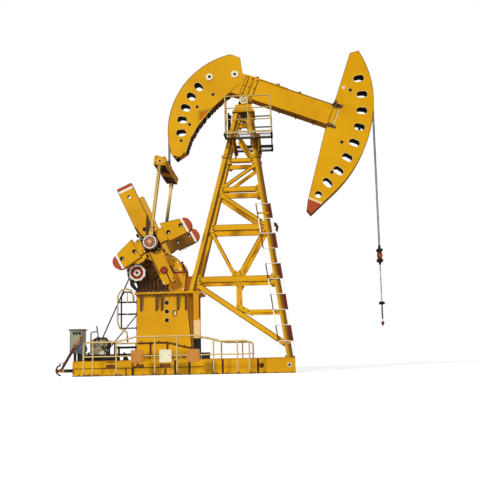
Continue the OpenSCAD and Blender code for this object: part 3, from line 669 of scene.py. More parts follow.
def piece(name, mesh, mats, body, smooth=35, bevel=0.0, seg=1):
    me = bpy.data.meshes.new(name)
    me.from_pydata(mesh.v, [], mesh.f)
    mats = mats if isinstance(mats, (list, tuple)) else [mats]
    for m in mats:
        me.materials.append(m)
    me.polygons.foreach_set("material_index", mesh.i)
    import bmesh
    bm = bmesh.new()
    bm.from_mesh(me)
    bmesh.ops.recalc_face_normals(bm, faces=bm.faces)
    if bevel:
        es = [e for e in bm.edges if len(e.link_faces) == 2 and e.calc_face_angle(0) > math.radians(50)]
        bmesh.ops.bevel(bm, geom=es, offset=bevel, segments=seg, profile=0.6, affect="EDGES", clamp_overlap=True)
    bm.to_mesh(me)
    bm.free()
    me.polygons.foreach_set("use_smooth", [True] * len(me.polygons))
    me.set_sharp_from_angle(angle=math.radians(smooth))
    me.update()
    o = bpy.data.objects.new(name, me)
    scene.collection.objects.link(o)
    if body:
        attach(o, body)
    return o


def oval(c, ang, l, w, y, n=12):
    """Loop of a slot outline in the XZ plane; c is (x, z), ang in radians about -Y."""
    pts = []
    for s, a0 in ((1, -90), (-1, 90)):
        for k in range(n + 1):
            a = math.radians(a0 + 180 * k / n)
            u, v = s * (l - w) / 2 + w / 2 * math.cos(a), w / 2 * math.sin(a)
            pts.append(Vector((c[0] + u * math.cos(ang) - v * math.sin(ang), y, c[1] + u * math.sin(ang) + v * math.cos(ang))))
    return pts


def both_sides(fn):
    for s in (-1, 1):
        fn(s)


# ---------------------------------------------------------------- guard rails round the base
RAIL = [(-4.14, 0.86), (-3.31, 0.86), (-2.81, 0.98), (-1.26, 0.98), (-0.71, 0.83), (0.05, 0.83)]
POSTS = [-3.31, -2.33, -1.77, -0.85, -0.25]


def rail_z(x):
    for (a, za), (b, zb) in zip(RAIL, RAIL[1:]):
        if a <= x <= b:
            return za + (zb - za) * (x - a) / (b - a)


def guard(s):
    m = Mesh()
    y = s * 1.30
    yi = s * 0.694
    foot = lambda x: [(x, y, 0.30), (x, y - s * 0.015, 0.135), (x, y - s * 0.10, 0.052), (x, y - s * 0.24, 0.040), (x, yi, 0.040)]
    path = [(-4.14, yi, 0.04), (-4.14, y, 0.04)] + [(x, y, z) for x, z in RAIL] + [(0.05, y, 0.04), (0.05, yi, 0.04)]
    m.tube(round_path(path, 0.11, 8), 0.022, 12)
    m.tube(round_path([(-4.14, y, 0.50), (0.05, y, 0.50)], 0.1), 0.017, 10)
    for x in POSTS + [-3.905]:
        zt = rail_z(x)
        m.tube(round_path([(x, y, zt), (x, y, 0.04), (x, yi, 0.04)], 0.13, 8), 0.019, 12)
    for x in POSTS + [-4.14, 0.05, -3.905]:
        m.ring((x, y, 0.485), Z, 0.018, 0.026, 0.03, 14)
        m.box((x - 0.05, min(yi, yi + s * 0.012), 0.018), (x + 0.05, max(yi, yi + s * 0.012), 0.085))
        for dx in (-0.034, 0.034):
            m.bolt((x + dx, yi + s * 0.012, 0.052), (0, s, 0), 0.010, 1)
    return piece("guard_rail_" + ("near" if s < 0 else "far"), m, [M_RAIL if s < 0 else M_TAN, M_BOLT], "root")


g = guard(-1)
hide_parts("guard_rails", "guard_rail_feet")
guard(1)

# blank plates hung on the near rail
m = Mesh()
for k, x in enumerate((-2.93, -2.21, -1.50)):
    c = Vector((x + 0.155, -1.326, 0.49))
    n = 6
    loop = []
    for cx_, cz_, a0 in ((0.125, 0.13, 0), (-0.125, 0.13, 90), (-0.125, -0.13, 180), (0.125, -0.13, 270)):
        for j in range(n + 1):
            a = math.radians(a0 + 90 * j / n)
            loop.append(c + Vector((cx_ + 0.03 * math.cos(a), 0, cz_ + 0.03 * math.sin(a))))
    m.prism(loop, (0, 0.004, 0), (0, -0.004, 0), 1 if k == 1 else 0)
    inner = [c + (p - c) * 0.93 for p in loop]
    inner2 = [c + (p - c) * 0.88 for p in loop]
    m.ring_prism(inner, inner2, (0, -0.0035, 0), (0, -0.0065, 0), 1 if k == 1 else 0)
    for dx in (-0.10, 0.10):
        m.bolt(c + Vector((dx, -0.004, 0.01)), (0, -1, 0), 0.008, 2)
        m.tube([c + Vector((dx, 0.002 + 0.048 * math.sin(math.radians(a)), 0.01 + 0.024 * math.cos(math.radians(a)))) for a in range(0, 181, 20)], 0.004, 6, 2)
o = piece("sign_blanks", m, [M_PLATE, M_PLATE2, M_BOLT], "root", bevel=0.0)
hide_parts("sign_plates")

# ---------------------------------------------------------------- saddle platform
def platform(s):
    m = Mesh()
    x0, x1, y0, y1 = -0.483, 0.738, s * 0.477, s * 0.913
    top = [(x0, y0, 6.30), (x0, y0, 7.33), (x0, y1, 7.33), (x1, y1, 7.33), (x1, y1, 6.30)]
    m.tube(round_path(top, 0.085, 8), 0.019, 12)
    for z, r in ((6.68, 0.015 if s < 0 else 0.020), (7.0, 0.015 if s < 0 else 0.020)):
        m.tube(round_path([(x0, y0, z), (x0, y1, z), (x1, y1, z)], 0.03, 4), r, 10)
    for x in (x0, 0.13):
        m.tube([(x, y1, 6.30), (x, y1, 7.33)], 0.017, 12)
    m.tube([(0.13, y1, 7.33), (0.13, y1, 7.335)], 0.017, 12)
    for p in ((x0, y0), (x0, y1), (x1, y1), (0.13, y1)):
        m.box((p[0] - 0.021, p[1] - 0.021, 6.30), (p[0] + 0.021, p[1] + 0.021, 6.308))
    # the far railing is black: painted shade
    return piece("platform_rail_" + ("near" if s < 0 else "far"), m, [M_TAN if s < 0 else M_BLACK], "root")


o = platform(-1)
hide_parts("platform_rails")
platform(1)


def deck(s):
    m = Mesh()
    ya, yb = sorted((s * 0.95, s * 0.44))
    xa, xb = -0.52, 0.775
    # toe boards and angle frame
    for a, b in (((xa, ya, 6.27), (xb, ya + 0.012, 6.335)), ((xa, yb - 0.012, 6.27), (xb, yb, 6.335)),
                 ((xa, ya + 0.012, 6.27), (xa + 0.012, yb - 0.012, 6.335)), ((xb - 0.012, ya + 0.012, 6.27), (xb, yb - 0.012, 6.335))):
        if a[1] == -0.95:
            m.box((a[0], a[1], 6.308), b, 3)
        else:
            m.box(a, b)
    for a, b in (((xa + 0.012, ya + 0.012, 6.27), (xb - 0.012, ya + 0.055, 6.278)), ((xa + 0.012, yb - 0.055, 6.27), (xb - 0.012, yb - 0.012, 6.278)),
                 ((xa + 0.012, ya + 0.055, 6.27), (xa + 0.055, yb - 0.055, 6.278)), ((xb - 0.055, ya + 0.055, 6.27), (xb - 0.012, yb - 0.055, 6.278))):
        m.box(a, b)
    # bearing bars and twisted cross rods
    x = xa + 0.045
    while x < xb - 0.03:
        m.box((x - 0.0025, ya + 0.012, 6.279), (x + 0.0025, yb - 0.012, 6.30), 1)
        x += 0.041
    y = ya + 0.06
    while y < yb - 0.03:
        m.cyl((xa + 0.012, y, 6.294), (xb - 0.012, y, 6.294), 0.0035, 6, 1)
        y += 0.10
    # corner bolts
    for x in (xa + 0.035, xb - 0.035):
        for y in (ya + 0.035, yb - 0.035):
            m.bolt((x, y, 6.27), (0, 0, -1), 0.010, 2)
    if s < 0:
        m.tube([(xa + 0.02, ya + 0.012, 6.347), (xb - 0.02, ya + 0.012, 6.347)], 0.0125, 10, 3)
    return piece("platform_grating_" + ("near" if s < 0 else "far"), m, [M_BLACK, M_PALEBOLT, M_BOLT, M_TAN], "root")


o = deck(-1)
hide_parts("platform_decks")
deck(1)

# ---------------------------------------------------------------- tower ladder, striped
def stripes(m, col):
    z = m.xyz()[2]
    s = m.math("MODULO", m.math("DIVIDE", m.math("SUBTRACT", z, 0.403), 0.405), 2.0)
    f = m.math("MULTIPLY", m.rng(s, 0.995, 1.005), m.rng(s, 1.995, 2.005, 1, 0))
    return m.mix(f, (0.93, 0.93, 0.90), (0.15, 0.016, 0.010))


M_LADDER = paint("ladder_enamel", base=(0.15, 0.016, 0.010), base2=(0.10, 0.012, 0.008), overlay=stripes, dirt_and_shade=(0.05, 0.02, 0.01), wear=(0.6, 0.4, 0.3), streaks=0.1, worn=0.1, grime_and_shade_amount=0.4)
M_RUNG = paint("rung_enamel", base=(0.90, 0.88, 0.80), base2=(0.80, 0.77, 0.66), dirt_and_shade=(0.25, 0.18, 0.10), worn=0.0, grime_and_shade_amount=0.3)
m = Mesh()


def lad(s, z, yo):
    return side(right_x(z) + s, yo, z)


for s, w in ((-0.24, 0.030), (0.11, 0.075)):
    a, b = lad(s, 0.42, -0.100), lad(s, 4.48, -0.100)
    m.bar(a, b, w, 0.036, Y, 0)
    if w > 0.05:
        for e in (-1, 1):
            off = Vector((e * w / 2, 0, 0))
            m.bar(a + off, b + off, 0.006, 0.042, Y, 0)
for k in range(10):
    z = 0.808 + 0.405 * k
    m.cyl(lad(-0.245, z, -0.100), lad(0.13, z, -0.100), 0.011, 12, 1)
for z in (0.76, 2.48, 4.20):
    a, b = lad(-0.24, z, -0.082), lad(0.11, z, -0.082)
    m.bar(a, b, 0.05, 0.014, Y, 2)
    for s in (-0.06, 0.06):
        m.bolt(lad(s, z, -0.089), (0, -1, 0), 0.012, 3)
o = piece("tower_ladder_rungs", m, [M_LADDER, M_RUNG, M_YEL, M_BOLT], "root", bevel=0.002)
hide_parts("tower_ladder")

# ---------------------------------------------------------------- tower gussets, bolts, splice bolts
# dark brown for the painted shade strips along the tower members
M_EDGE = paint("flange_shade_enamel", base=(0.155, 0.060, 0.006), base2=(0.095, 0.034, 0.005), dirt_and_shade=(0.04, 0.014, 0.004), grime_and_shade_amount=0.4, worn=0.0)
# pale yellow for the painted highlight strips on the tower legs, and two bolt heads on the gearbox
M_PALE = paint("pale_yellow_enamel", base=(0.88, 0.60, 0.11), base2=(0.80, 0.50, 0.06), grime_and_shade_amount=0.3, worn=0.0)
m = Mesh()
mb = Mesh()


def gusset(s, pts, yo=-0.062, t=0.010, bolts=()):
    a = [side(x, yo, z, s) for x, z in pts]
    n = Vector((0, s, 0))
    m.prism(a, n * 0, n * t, 0)
    for x, z in bolts:
        mb.bolt(side(x, yo - t, z, s), (0, s, 0), 0.013)


BARS = [(6.88, 0.13), (5.70, 0.11), (4.89, 0.14), (3.84, 0.16), (2.45, 0.16)]
for s in (-1, 1):
    for z, h in BARS:
        lx, rx = left_x(z) + 0.15, right_x(z) - 0.085
        w = 0.11 if z < 6 else 0.07
        for x0, d in ((lx, 1), (rx, -1)):
            z0, z1 = z - h / 2 - 0.05, z + h / 2 + 0.05
            pts = [(x0 - 0.01 * d, z0), (x0 + w * d * 0.6, z0), (x0 + w * d, z - h / 2 + 0.02), (x0 + w * d, z + h / 2 - 0.02), (x0 + w * d * 0.6, z1), (x0 - 0.01 * d, z1)]
            gusset(s, pts, -0.056, 0.008, [(x0 + w * d * 0.5, z - h * 0.25), (x0 + w * d * 0.5, z + h * 0.25), (x0 + w * d * 0.8, z - h * 0.25), (x0 + w * d * 0.8, z + h * 0.25)])
    # node where the two V braces meet, and the strut below the long brace
    gusset(s, [(-0.40, 2.53), (-0.36, 2.66), (-0.29, 2.69), (-0.255, 2.64), (-0.21, 2.69), (-0.13, 2.66), (-0.07, 2.53)], -0.042, 0.010, [(-0.33, 2.57), (-0.31, 2.63), (-0.15, 2.57), (-0.18, 2.63)])
    gusset(s, [(-0.35, 2.37), (-0.13, 2.37), (-0.175, 2.25), (-0.305, 2.25)], -0.042, 0.010, [(-0.29, 2.33), (-0.19, 2.33), (-0.24, 2.28)])
    gusset(s, [(-0.305, 1.79), (-0.29, 1.68), (0.04, 1.535), (0.14, 1.555), (0.06, 1.63), (-0.16, 1.76)], -0.042, 0.010, [(-0.24, 1.72), (-0.10, 1.67), (0.02, 1.60)])
    # splice flange bolts
    for cx_, w in ((left_x(5.8) + 0.075, 0.21), (right_x(5.8), 0.23)):
        for dx in (-0.42, -0.14, 0.14, 0.42):
            mb.bolt(side(cx_ + dx * w, -0.092, 5.825, s), (0, 0, 1), 0.012, nut=True)
            mb.bolt(side(cx_ + dx * w, -0.092, 5.775, s), (0, 0, -1), 0.012)
    # foot plates: webs and anchor nuts
    rx = right_x(0.39)
    for dx in (-0.115, 0.100):
        for yy in (-0.735, -0.585):
            mb.bolt((rx + dx, yy * -s, 0.411), (0, 0, 1), 0.016, nut=True)
    for dx in (-0.11, 0.10):
        m.prism([side(rx + dx * 0.75, 0, 0.46, s), side(rx + dx * 1.05, 0, 0.411, s), side(rx + dx * 0.6, 0, 0.411, s)], (0, -0.006, 0), (0, 0.006, 0), 0)
    lx = left_x(2.15)
    for dx in (-0.015, 0.175):
        for yy in (0.675, 0.475):
            mb.bolt((lx + dx, yy * s, 2.171), (0, 0, 1), 0.014, nut=True)
# dark strips on the shaded sides and edges of legs, crossbars and braces are painted shade; the pale strips at the
# legs' left edges are painted highlight
for s in (-1, 1):
    def edge(p, q, w, yo, mi=1):
        m.bar(side(p[0], yo, p[1], s), side(q[0], yo, q[1], s), w, 0.006, Y, mi)
    for z0, z1 in ((2.20, 5.76), (5.85, 7.02)):
        edge((left_x(z0) + 0.125, z0), (left_x(z1) + 0.125, z1), 0.046, -0.0755)
        edge((left_x(z0) + 0.006, z0), (left_x(z1) + 0.006, z1), 0.010, -0.0755, 2)
    for z0, z1 in ((0.42, 5.76), (5.85, 7.02)):
        edge((right_x(z0) + 0.056, z0), (right_x(z1) + 0.056, z1), 0.054, -0.0755)
        edge((right_x(z0) - 0.079, z0), (right_x(z1) - 0.079, z1), 0.010, -0.0755, 2)
    for z, h in BARS:
        for e, w in ((-1, 0.014), (1, 0.011)):
            zz = z + e * (h / 2 - w / 2)
            edge((left_x(zz) + 0.16, zz), (right_x(zz) - 0.095, zz), w, -0.0555)
    for p, q, w in (((-0.19, 6.42), (0.25, 5.74), 0.088), ((-0.64, 4.93), (0.33, 5.60), 0.090), ((-0.72, 4.79), (0.52, 3.90), 0.112),
                    ((-0.96, 3.80), (-0.39, 2.68), 0.096), ((0.50, 3.78), (-0.13, 2.68), 0.096), ((-1.40, 2.38), (1.15, 0.61), 0.135)):
        a, b = Vector((p[0], 0, p[1])), Vector((q[0], 0, q[1]))
        d = (b - a).normalized()
        if d.x < 0:
            d = -d
        n = Vector((-d.z, 0, d.x))
        for e, t in ((1, 0.020), (-1, 0.012)):
            off = n * (e * (w / 2 - t / 2))
            pa, pb = a + d * (0.16 if p[0] < q[0] else -0.12) + off, b - d * (0.16 if p[0] < q[0] else -0.12) + off
            edge((pa.x, pa.z), (pb.x, pb.z), t, -0.0405)
piece("tower_gussets", m, [M_YEL_LIT, M_EDGE, M_PALE], "root", bevel=0.002)
piece("tower_bolts", mb, [M_BOLT], "root", smooth=30)

# ---------------------------------------------------------------- heads: liners, rims, edges
M_RIM = paint("hole_rim_enamel", base=(0.84, 0.60, 0.17), base2=(0.72, 0.46, 0.09), grime_and_shade_amount=0.4, worn=0.1)
M_OLIVE = paint("dark_edge_enamel", base=(0.22, 0.115, 0.006), base2=(0.14, 0.070, 0.005), grime_and_shade_amount=0.4, worn=0.0)
M_PEACH = paint("peach_enamel", base=(0.83, 0.47, 0.22), base2=(0.74, 0.38, 0.16), grime_and_shade_amount=0.4)


def circ(c, r, y=0.0, n=28):
    return [Vector((c[0] + r * math.cos(2 * math.pi * k / n), y, c[1] + r * math.sin(2 * math.pi * k / n))) for k in range(n)]


def opening(m, loop, w, black=0, rim=1, hw=0.2):
    """Black liner between two side plates and a raised pale rim on both faces."""
    c = sum(loop, Vector()) / len(loop)

    def grow(d):
        out = []
        n = len(loop)
        for k in range(n):
            t = loop[(k + 1) % n] - loop[k - 1]
            nn = Vector((t.z, 0, -t.x)).normalized()
            if nn.dot(loop[k] - c) < 0:
                nn = -nn
            out.append(loop[k] + nn * d)
        return out
    m.ring_prism(grow(0.009), grow(0.0015), (0, -hw + 0.0145, 0), (0, hw - 0.0145, 0), black)
    for s in (-1, 1):
        m.ring_prism(grow(w), grow(0.0005), (0, s * (hw - 0.0005), 0), (0, s * (hw + 0.003), 0), rim)


def slot_loop(c, ang, l, w, n=10):
    """Slot outline with no repeated points."""
    pts = oval(c, ang, l, w, 0.0, n)
    out = [p for k, p in enumerate(pts) if (p - pts[k - 1]).length > 1e-5]
    return out


def outline_strip(m, pts, w, y0, y1, mi=0, inside=None):
    """Narrow strip laid along a line of (x, z) points, on the side of the inside point."""
    v = [Vector((p[0], 0, p[1])) for p in pts]
    c = Vector((inside[0], 0, inside[1]))
    inn = []
    for k in range(len(v)):
        a, b = v[max(k - 1, 0)], v[min(k + 1, len(v) - 1)]
        t = b - a
        nn = Vector((t.z, 0, -t.x)).normalized()
        if nn.dot(c - v[k]) < 0:
            nn = -nn
        inn.append(v[k] + nn * w)
    for k in range(len(v) - 1):
        m.prism([v[k], v[k + 1], inn[k + 1], inn[k]], (0, y0, 0), (0, y1, 0), mi)


def track(r, deg):
    a = math.radians(deg)
    q = (UPC + (r - UPC) * math.cos(a), (r - UPC) * math.sin(a)) if deg >= 0 else (r * math.cos(a), r * math.sin(a))
    return (q[0], PZ + q[1])


m = Mesh()
for k, a in enumerate((9.5, 1.3, -6.9, -15.1, -23.3, -31.3, -39.1, -46.9)):
    t = math.radians(a)
    rr = 3.225 if a > 5 else 3.255
    c = (rr * math.cos(t), PZ + rr * math.sin(t))
    opening(m, slot_loop(c, t, 0.300, 0.185), 0.017)
    if k == 3:
        m.box((c[0] + 0.005, -0.186, c[1] - 0.09), (c[0] + 0.035, 0.186, c[1] + 0.09), 0)
opening(m, circ((1.965, PZ - 2.695), 0.093), 0.017)
for x, z in ((2.94, 0.21), (2.65, -1.26), (2.35, -2.09)):
    m.cyl((x, -0.197, PZ + z), (x, 0.197, PZ + z), 0.0445, 20, 0)
    for s in (-1, 1):
        m.ring((x, s * 0.1995, PZ + z), (0, s, 0), 0.046, 0.056, 0.0025, 24, 1)
m.cyl((2.755, -0.1995, PZ + 0.285), (2.755, -0.206, PZ + 0.285), 0.046, 24, 3)
# dark lines along the outline, on the face of both side plates: painted shade along the rim and edges
lo = math.degrees(LOW)
arc = [track(FR, a) for a in list(range(30, -49, -3))] + [(FR * math.cos(LOW) - 0.86 * math.sin(LOW), PZ - FR * math.sin(LOW) - 0.86 * math.cos(LOW))]
back = [(2.97, PZ + 1.28), (2.48, PZ - 0.15), (2.19, PZ - 0.95), (1.68, PZ - 2.81), (1.64, PZ - 3.08), arc[-1]]
for y0, y1 in ((-0.2015, -0.1995), (0.1995, 0.2015)):
    outline_strip(m, arc, 0.016, y0, y1, 2, (2.6, PZ - 0.8))
    outline_strip(m, back, 0.011, y0, y1, 2, (3.0, PZ - 0.8))
    outline_strip(m, [back[0], arc[0]], 0.011, y0, y1, 2, (2.9, PZ))
piece("front_head_linings", m, [M_BLACK, M_RIM, M_OLIVE, M_CREAM], "beam")

# seam and brackets where the head is pinned to the beam
m = Mesh()
for s in (-1, 1):
    a, b = beam_p(2.548, s * 0.2035, GAP + 0.012), beam_p(2.548, s * 0.2035, GAP + BH - 0.012)
    m.bar(a, b, 0.024, 0.009, Y, 0)
    a, b = beam_p(2.525, s * 0.2025, GAP + 0.012), beam_p(2.525, s * 0.2025, GAP + BH - 0.012)
    m.bar(a, b, 0.014, 0.008, Y, 1)
    for pts in ([(2.30, GAP + BH - 0.03), (2.345, GAP + BH + 0.02), (2.35, GAP + BH + 0.12), (2.40, GAP + BH + 0.135), (2.42, GAP + BH + 0.045), (2.62, GAP + BH + 0.045), (2.60, GAP + BH - 0.02), (2.55, GAP + BH - 0.075), (2.50, GAP + BH - 0.04), (2.40, GAP + BH - 0.085)],
                [(2.34, GAP - 0.01), (2.43, GAP + 0.085), (2.49, GAP + 0.035), (2.57, GAP + 0.06), (2.64, GAP + 0.01), (2.62, GAP - 0.035), (2.50, GAP - 0.03), (2.42, GAP - 0.055)]):
        m.prism([beam_p(x, 0, z) for x, z in pts], (0, s * 0.1995, 0), (0, s * 0.222, 0), 2)
    for x, z in ((2.39, GAP + BH + 0.085), (2.56, GAP + BH + 0.008), (2.43, GAP + BH - 0.03), (2.44, GAP + 0.02), (2.58, GAP + 0.02)):
        m.bolt(beam_p(x, s * 0.222, z), (0, s, 0), 0.017, 3)
    # pin through the upper bracket
    m.cyl(beam_p(2.56, s * 0.19, GAP + BH + 0.008), beam_p(2.56, s * 0.243, GAP + BH + 0.008), 0.016, 14, 3)
piece("head_hinges", m, [M_CREAM, M_OLIVE, M_DARKBR, M_BOLT], "beam", bevel=0.003)

# rear head
m = Mesh()
for a in (137, 147.5, 158.5, 169.5, 181):
    t = math.radians(a)
    opening(m, slot_loop((RC[0] + 1.865 * math.cos(t), RC[1] + 1.865 * math.sin(t)), t, 0.280, 0.190), 0.015)
for x, z in ((-0.86, 0.23), (-1.30, -0.11), (-1.52, -0.61), (-1.76, -1.06)):
    m.cyl((x, -0.197, PZ + z), (x, 0.197, PZ + z), 0.0405, 20, 0)
    for s in (-1, 1):
        m.ring((x, s * 0.1995, PZ + z), (0, s, 0), 0.042, 0.052, 0.0025, 24, 1)
for x, z in ((-0.95, 0.74), (-0.24, 0.79)):
    m.cyl((x, -0.197, PZ + z), (x, 0.197, PZ + z), 0.0405, 20, 0)
    for s in (-1, 1):
        m.ring((x, s * 0.1995, PZ + z), (0, s, 0), 0.0955, 0.106, 0.003, 32, 2)
arc = [(RC[0] + RR * math.cos(math.radians(a)), RC[1] + RR * math.sin(math.radians(a))) for a in range(102, 198, 3)]
inner = [(-1.91, PZ - 1.58), (-1.625, PZ - 1.39), (-1.50, PZ - 1.01), (-1.29, PZ - 0.65), (-1.05, PZ - 0.35), (-0.80, PZ - 0.09), (-0.52, PZ + 0.165), (-0.37, PZ + 0.27)]
seam = [(-1.265, PZ - 0.60), (-1.261, PZ - 0.251), (-0.898, PZ - 0.175), (-0.52, PZ + 0.162), (-0.367, PZ + 0.289), (-0.129, PZ + 0.506)]
for s in (-1, 1):
    y0, y1 = s * 0.1995, s * 0.2015
    outline_strip(m, arc, 0.017, y0, y1, 3, (-0.8, PZ - 0.3))
    outline_strip(m, [arc[0], (-0.08, PZ + 1.27), (-0.02, PZ + 0.81)], 0.010, y0, y1, 3, (-0.8, PZ - 0.3))
    outline_strip(m, inner, 0.010, y0, y1, 4, (-1.6, PZ + 0.2))
    for i, (p, q) in enumerate(zip(seam, seam[1:])):
        a, b = Vector((p[0], s * 0.2005, p[1])), Vector((q[0], s * 0.2005, q[1]))
        m.bar(a, b, 0.013, 0.0035, Y, 3)
        if i < 2:
            off = Vector((0.015, 0, -0.010))
            m.bar(a + off, b + off, 0.010, 0.0028, Y, 4)
# straps and stiffeners on the underside flange
for i, (p, q) in enumerate(zip(inner[1:], inner[2:])):
    a, b = Vector((p[0], 0, p[1])), Vector((q[0], 0, q[1]))
    d = (b - a).normalized()
    n = Vector((d.z, 0, -d.x))
    L = (b - a).length
    k = 0
    t = 0.02
    while t + 0.05 < L:
        w = (0.11, 0.055, 0.15)[(i + k) % 3]
        w = min(w, L - t - 0.01)
        mid = a + d * (t + w / 2) + n * 0.011
        m.obox(mid, (d, Y, n), (w / 2, 0.196, 0.011), (0, 5, 6)[(i + k) % 3])
        t += w + 0.035
        k += 1
for x, z in ((-1.86, -1.535), (-1.70, -1.43)):
    m.bolt((x, -0.2, PZ + z), (0, -1, 0), 0.014, 7)
piece("rear_head_linings", m, [M_BLACK, M_RIM, M_WHITE, M_OLIVE, M_RIM, M_DARKBR, M_EDGE, M_BOLT], "beam")

# ---------------------------------------------------------------- walking beam and saddle
m = Mesh()
for k, x in enumerate((0.116, 0.732, 1.376)):
    for s in (-1, 1):
        zt = GAP + BH + (0.024 if x < 1.0 else 0.0)
        pts = [(x - 0.05, zt), (x + 0.05, zt), (x + 0.022, zt + 0.052), (x - 0.022, zt + 0.052)]
        m.prism([beam_p(a, 0, b) for a, b in pts], (0, s * 0.150, 0), (0, s * 0.132, 0), 4)
        m.bolt(beam_p(x - 0.075, s * 0.141, zt), beam_p(0, 0, 1) - beam_p(0, 0, 0), 0.013, 2, nut=True)
for x in (0.988, 1.486, 2.0):
    for s in (-1, 1):
        m.bolt(beam_p(x, s * 0.125, GAP), beam_p(0, 0, -1) - beam_p(0, 0, 0), 0.020, 3, nut=True)
        m.prism([beam_p(a, 0, b) for a, b in ((x - 0.06, GAP), (x + 0.06, GAP), (x + 0.03, GAP - 0.022), (x - 0.03, GAP - 0.022))], (0, s * 0.09, 0), (0, s * 0.102, 0), 3)
for s in (-1, 1):
    # flange edges, the dark lower one being painted shade under the beam; weld line of the cover plate, and its step
    for z, t, mi in ((GAP + 0.011, 0.022, 3), (GAP + BH - 0.008, 0.016, 4)):
        m.bar(beam_p(0.19, s * 0.1785, z), beam_p(2.50, s * 0.1785, z), t, 0.007, Y, mi)
    m.bar(beam_p(0.17, s * 0.178, GAP + BH - 0.026), beam_p(2.50, s * 0.178, GAP + BH - 0.026), 0.008, 0.004, Y, 4)
    # bearing clamp bars with their bolts, and dark joints between them
    for x in (-0.185, -0.045, 0.095):
        for z in (GAP + 0.055, GAP + 0.30, GAP + BH - 0.06):
            m.bolt(beam_p(x + 0.031, s * 0.195, z), (0, s, 0), 0.014, 3)
        for dx, w in ((0.016, 0.038), (0.080, 0.010)):
            m.bar(beam_p(x + dx, s * 0.1780, GAP + 0.02), beam_p(x + dx, s * 0.1780, GAP + BH - 0.02), w, 0.006, Y, 3)
    # wedge plate under the near clamp
    m.prism([beam_p(a, 0, b) for a, b in ((0.17, GAP + 0.10), (0.17, GAP + 0.006), (0.78, GAP + 0.006))], (0, s * 0.1755, 0), (0, s * 0.186, 0), 0)
    for x in (2.18, 2.30):
        m.bolt(beam_p(x, s * 0.176, GAP + BH - 0.07), (0, s, 0), 0.010, 5)
        m.bolt(beam_p(x - 0.03, s * 0.176, GAP + BH - 0.15), (0, s, 0), 0.010, 5)
piece("beam_trim", m, [M_YEL, M_YEL_LIT, M_PALEBOLT, M_DARKBR, M_OLIVE, M_BOLT], "beam", bevel=0.002)

m = Mesh()
for s in (-1, 1):
    c = Vector((0, s * 0.3155, PZ))
    n = (0, s, 0)
    m.revolve(c, n, [(0.120, 0), (0.120, 0.010), (0.112, 0.016), (0.0, 0.016)], 48, 0)
    m.ring(c + Vector((0, s * 0.0155, 0)), n, 0.045, 0.062, 0.006, 32, 2)
    m.revolve(c + Vector((0, s * 0.016, 0)), n, [(0.030, 0), (0.030, 0.012), (0.022, 0.016), (0, 0.016)], 24, 0)
    for k in range(6):
        a = math.radians(30 + 60 * k)
        m.bolt(c + Vector((0.088 * math.cos(a), s * 0.016, 0.088 * math.sin(a))), n, 0.013, 0)
    # bearing cap line, hold-down bolts and base strip
    m.box((-0.255, min(s * 0.302, s * 0.318), 7.128), (0.228, max(s * 0.302, s * 0.318), 7.150), 1)
    for x in (-0.235, -0.12, 0.09, 0.205):
        m.bolt((x, s * 0.285, 7.165), (0, 0, 1), 0.016, 2, nut=True)
    m.box((-0.318, min(s * 0.379, s * 0.386), 7.045), (0.288, max(s * 0.379, s * 0.386), 7.066), 3)
    m.prism([(a, s * 0.3005, b) for a, b in ((-0.158, 7.300), (-0.126, 7.425), (-0.090, 7.425), (-0.075, 7.300))], (0, 0, 0), (0, s * 0.006, 0), 3)
    m.prism([(a, s * 0.3005, b) for a, b in ((0.195, 7.300), (0.128, 7.425), (0.090, 7.425), (0.120, 7.300))], (0, 0, 0), (0, s * 0.006, 0), 3)
    m.box((-0.085, min(s * 0.290, s * 0.304), 6.900), (0.095, max(s * 0.290, s * 0.304), 7.085), 3)
    m.box((-0.255, min(s * 0.302, s * 0.316), 7.112), (0.228, max(s * 0.302, s * 0.316), 7.128), 2)
    for x in (-0.29, 0.26):
        m.bolt((x, s * 0.345, 7.10), (0, 0, 1), 0.015, 2, nut=True)
piece("saddle_fittings", m, [M_CREAM, M_YEL, M_DARKBR, M_BLACK], "root")

# ---------------------------------------------------------------- wire ropes
def twist(m, pts, r, pitch=0.13, seg=18, mi=0):
    """Rope of six strands: a tube whose six lobes turn along it."""
    pts = [Vector(p) for p in pts]
    n = len(pts)
    vs, fs, s = [], [], 0.0
    u = None
    for i, p in enumerate(pts):
        d = (pts[min(i + 1, n - 1)] - pts[max(i - 1, 0)]).normalized()
        if i:
            s += (p - pts[i - 1]).length
        u = Y.copy() if u is None else u
        u = (u - d * d.dot(u)).normalized()
        w = d.cross(u)
        for k in range(seg):
            t = 2 * math.pi * k / seg
            rr = r * (0.80 + 0.20 * abs(math.cos(3 * (t + 2 * math.pi * s / pitch))))
            vs.append(p + (u * math.cos(t) + w * math.sin(t)) * rr)
    for i in range(n - 1):
        fs += [(i * seg + k, i * seg + (k + 1) % seg, (i + 1) * seg + (k + 1) % seg, (i + 1) * seg + k) for k in range(seg)]
    fs += [tuple(range(seg - 1, -1, -1)), tuple((n - 1) * seg + k for k in range(seg))]
    m.add(vs, fs, mi)


ROPE_TOP = PZ - 0.004
m = Mesh()
for y in (-0.11, 0.11):
    n = 300
    twist(m, [(ROPE_R + 0.0015, y, CARR + 0.002 + (ROPE_TOP - CARR - 0.002) * k / n) for k in range(n + 1)], ROPE - 0.0015)
o = piece("front_rope_runs", m, [M_WIRE], "root")
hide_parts("hanging_ropes")
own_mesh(o)

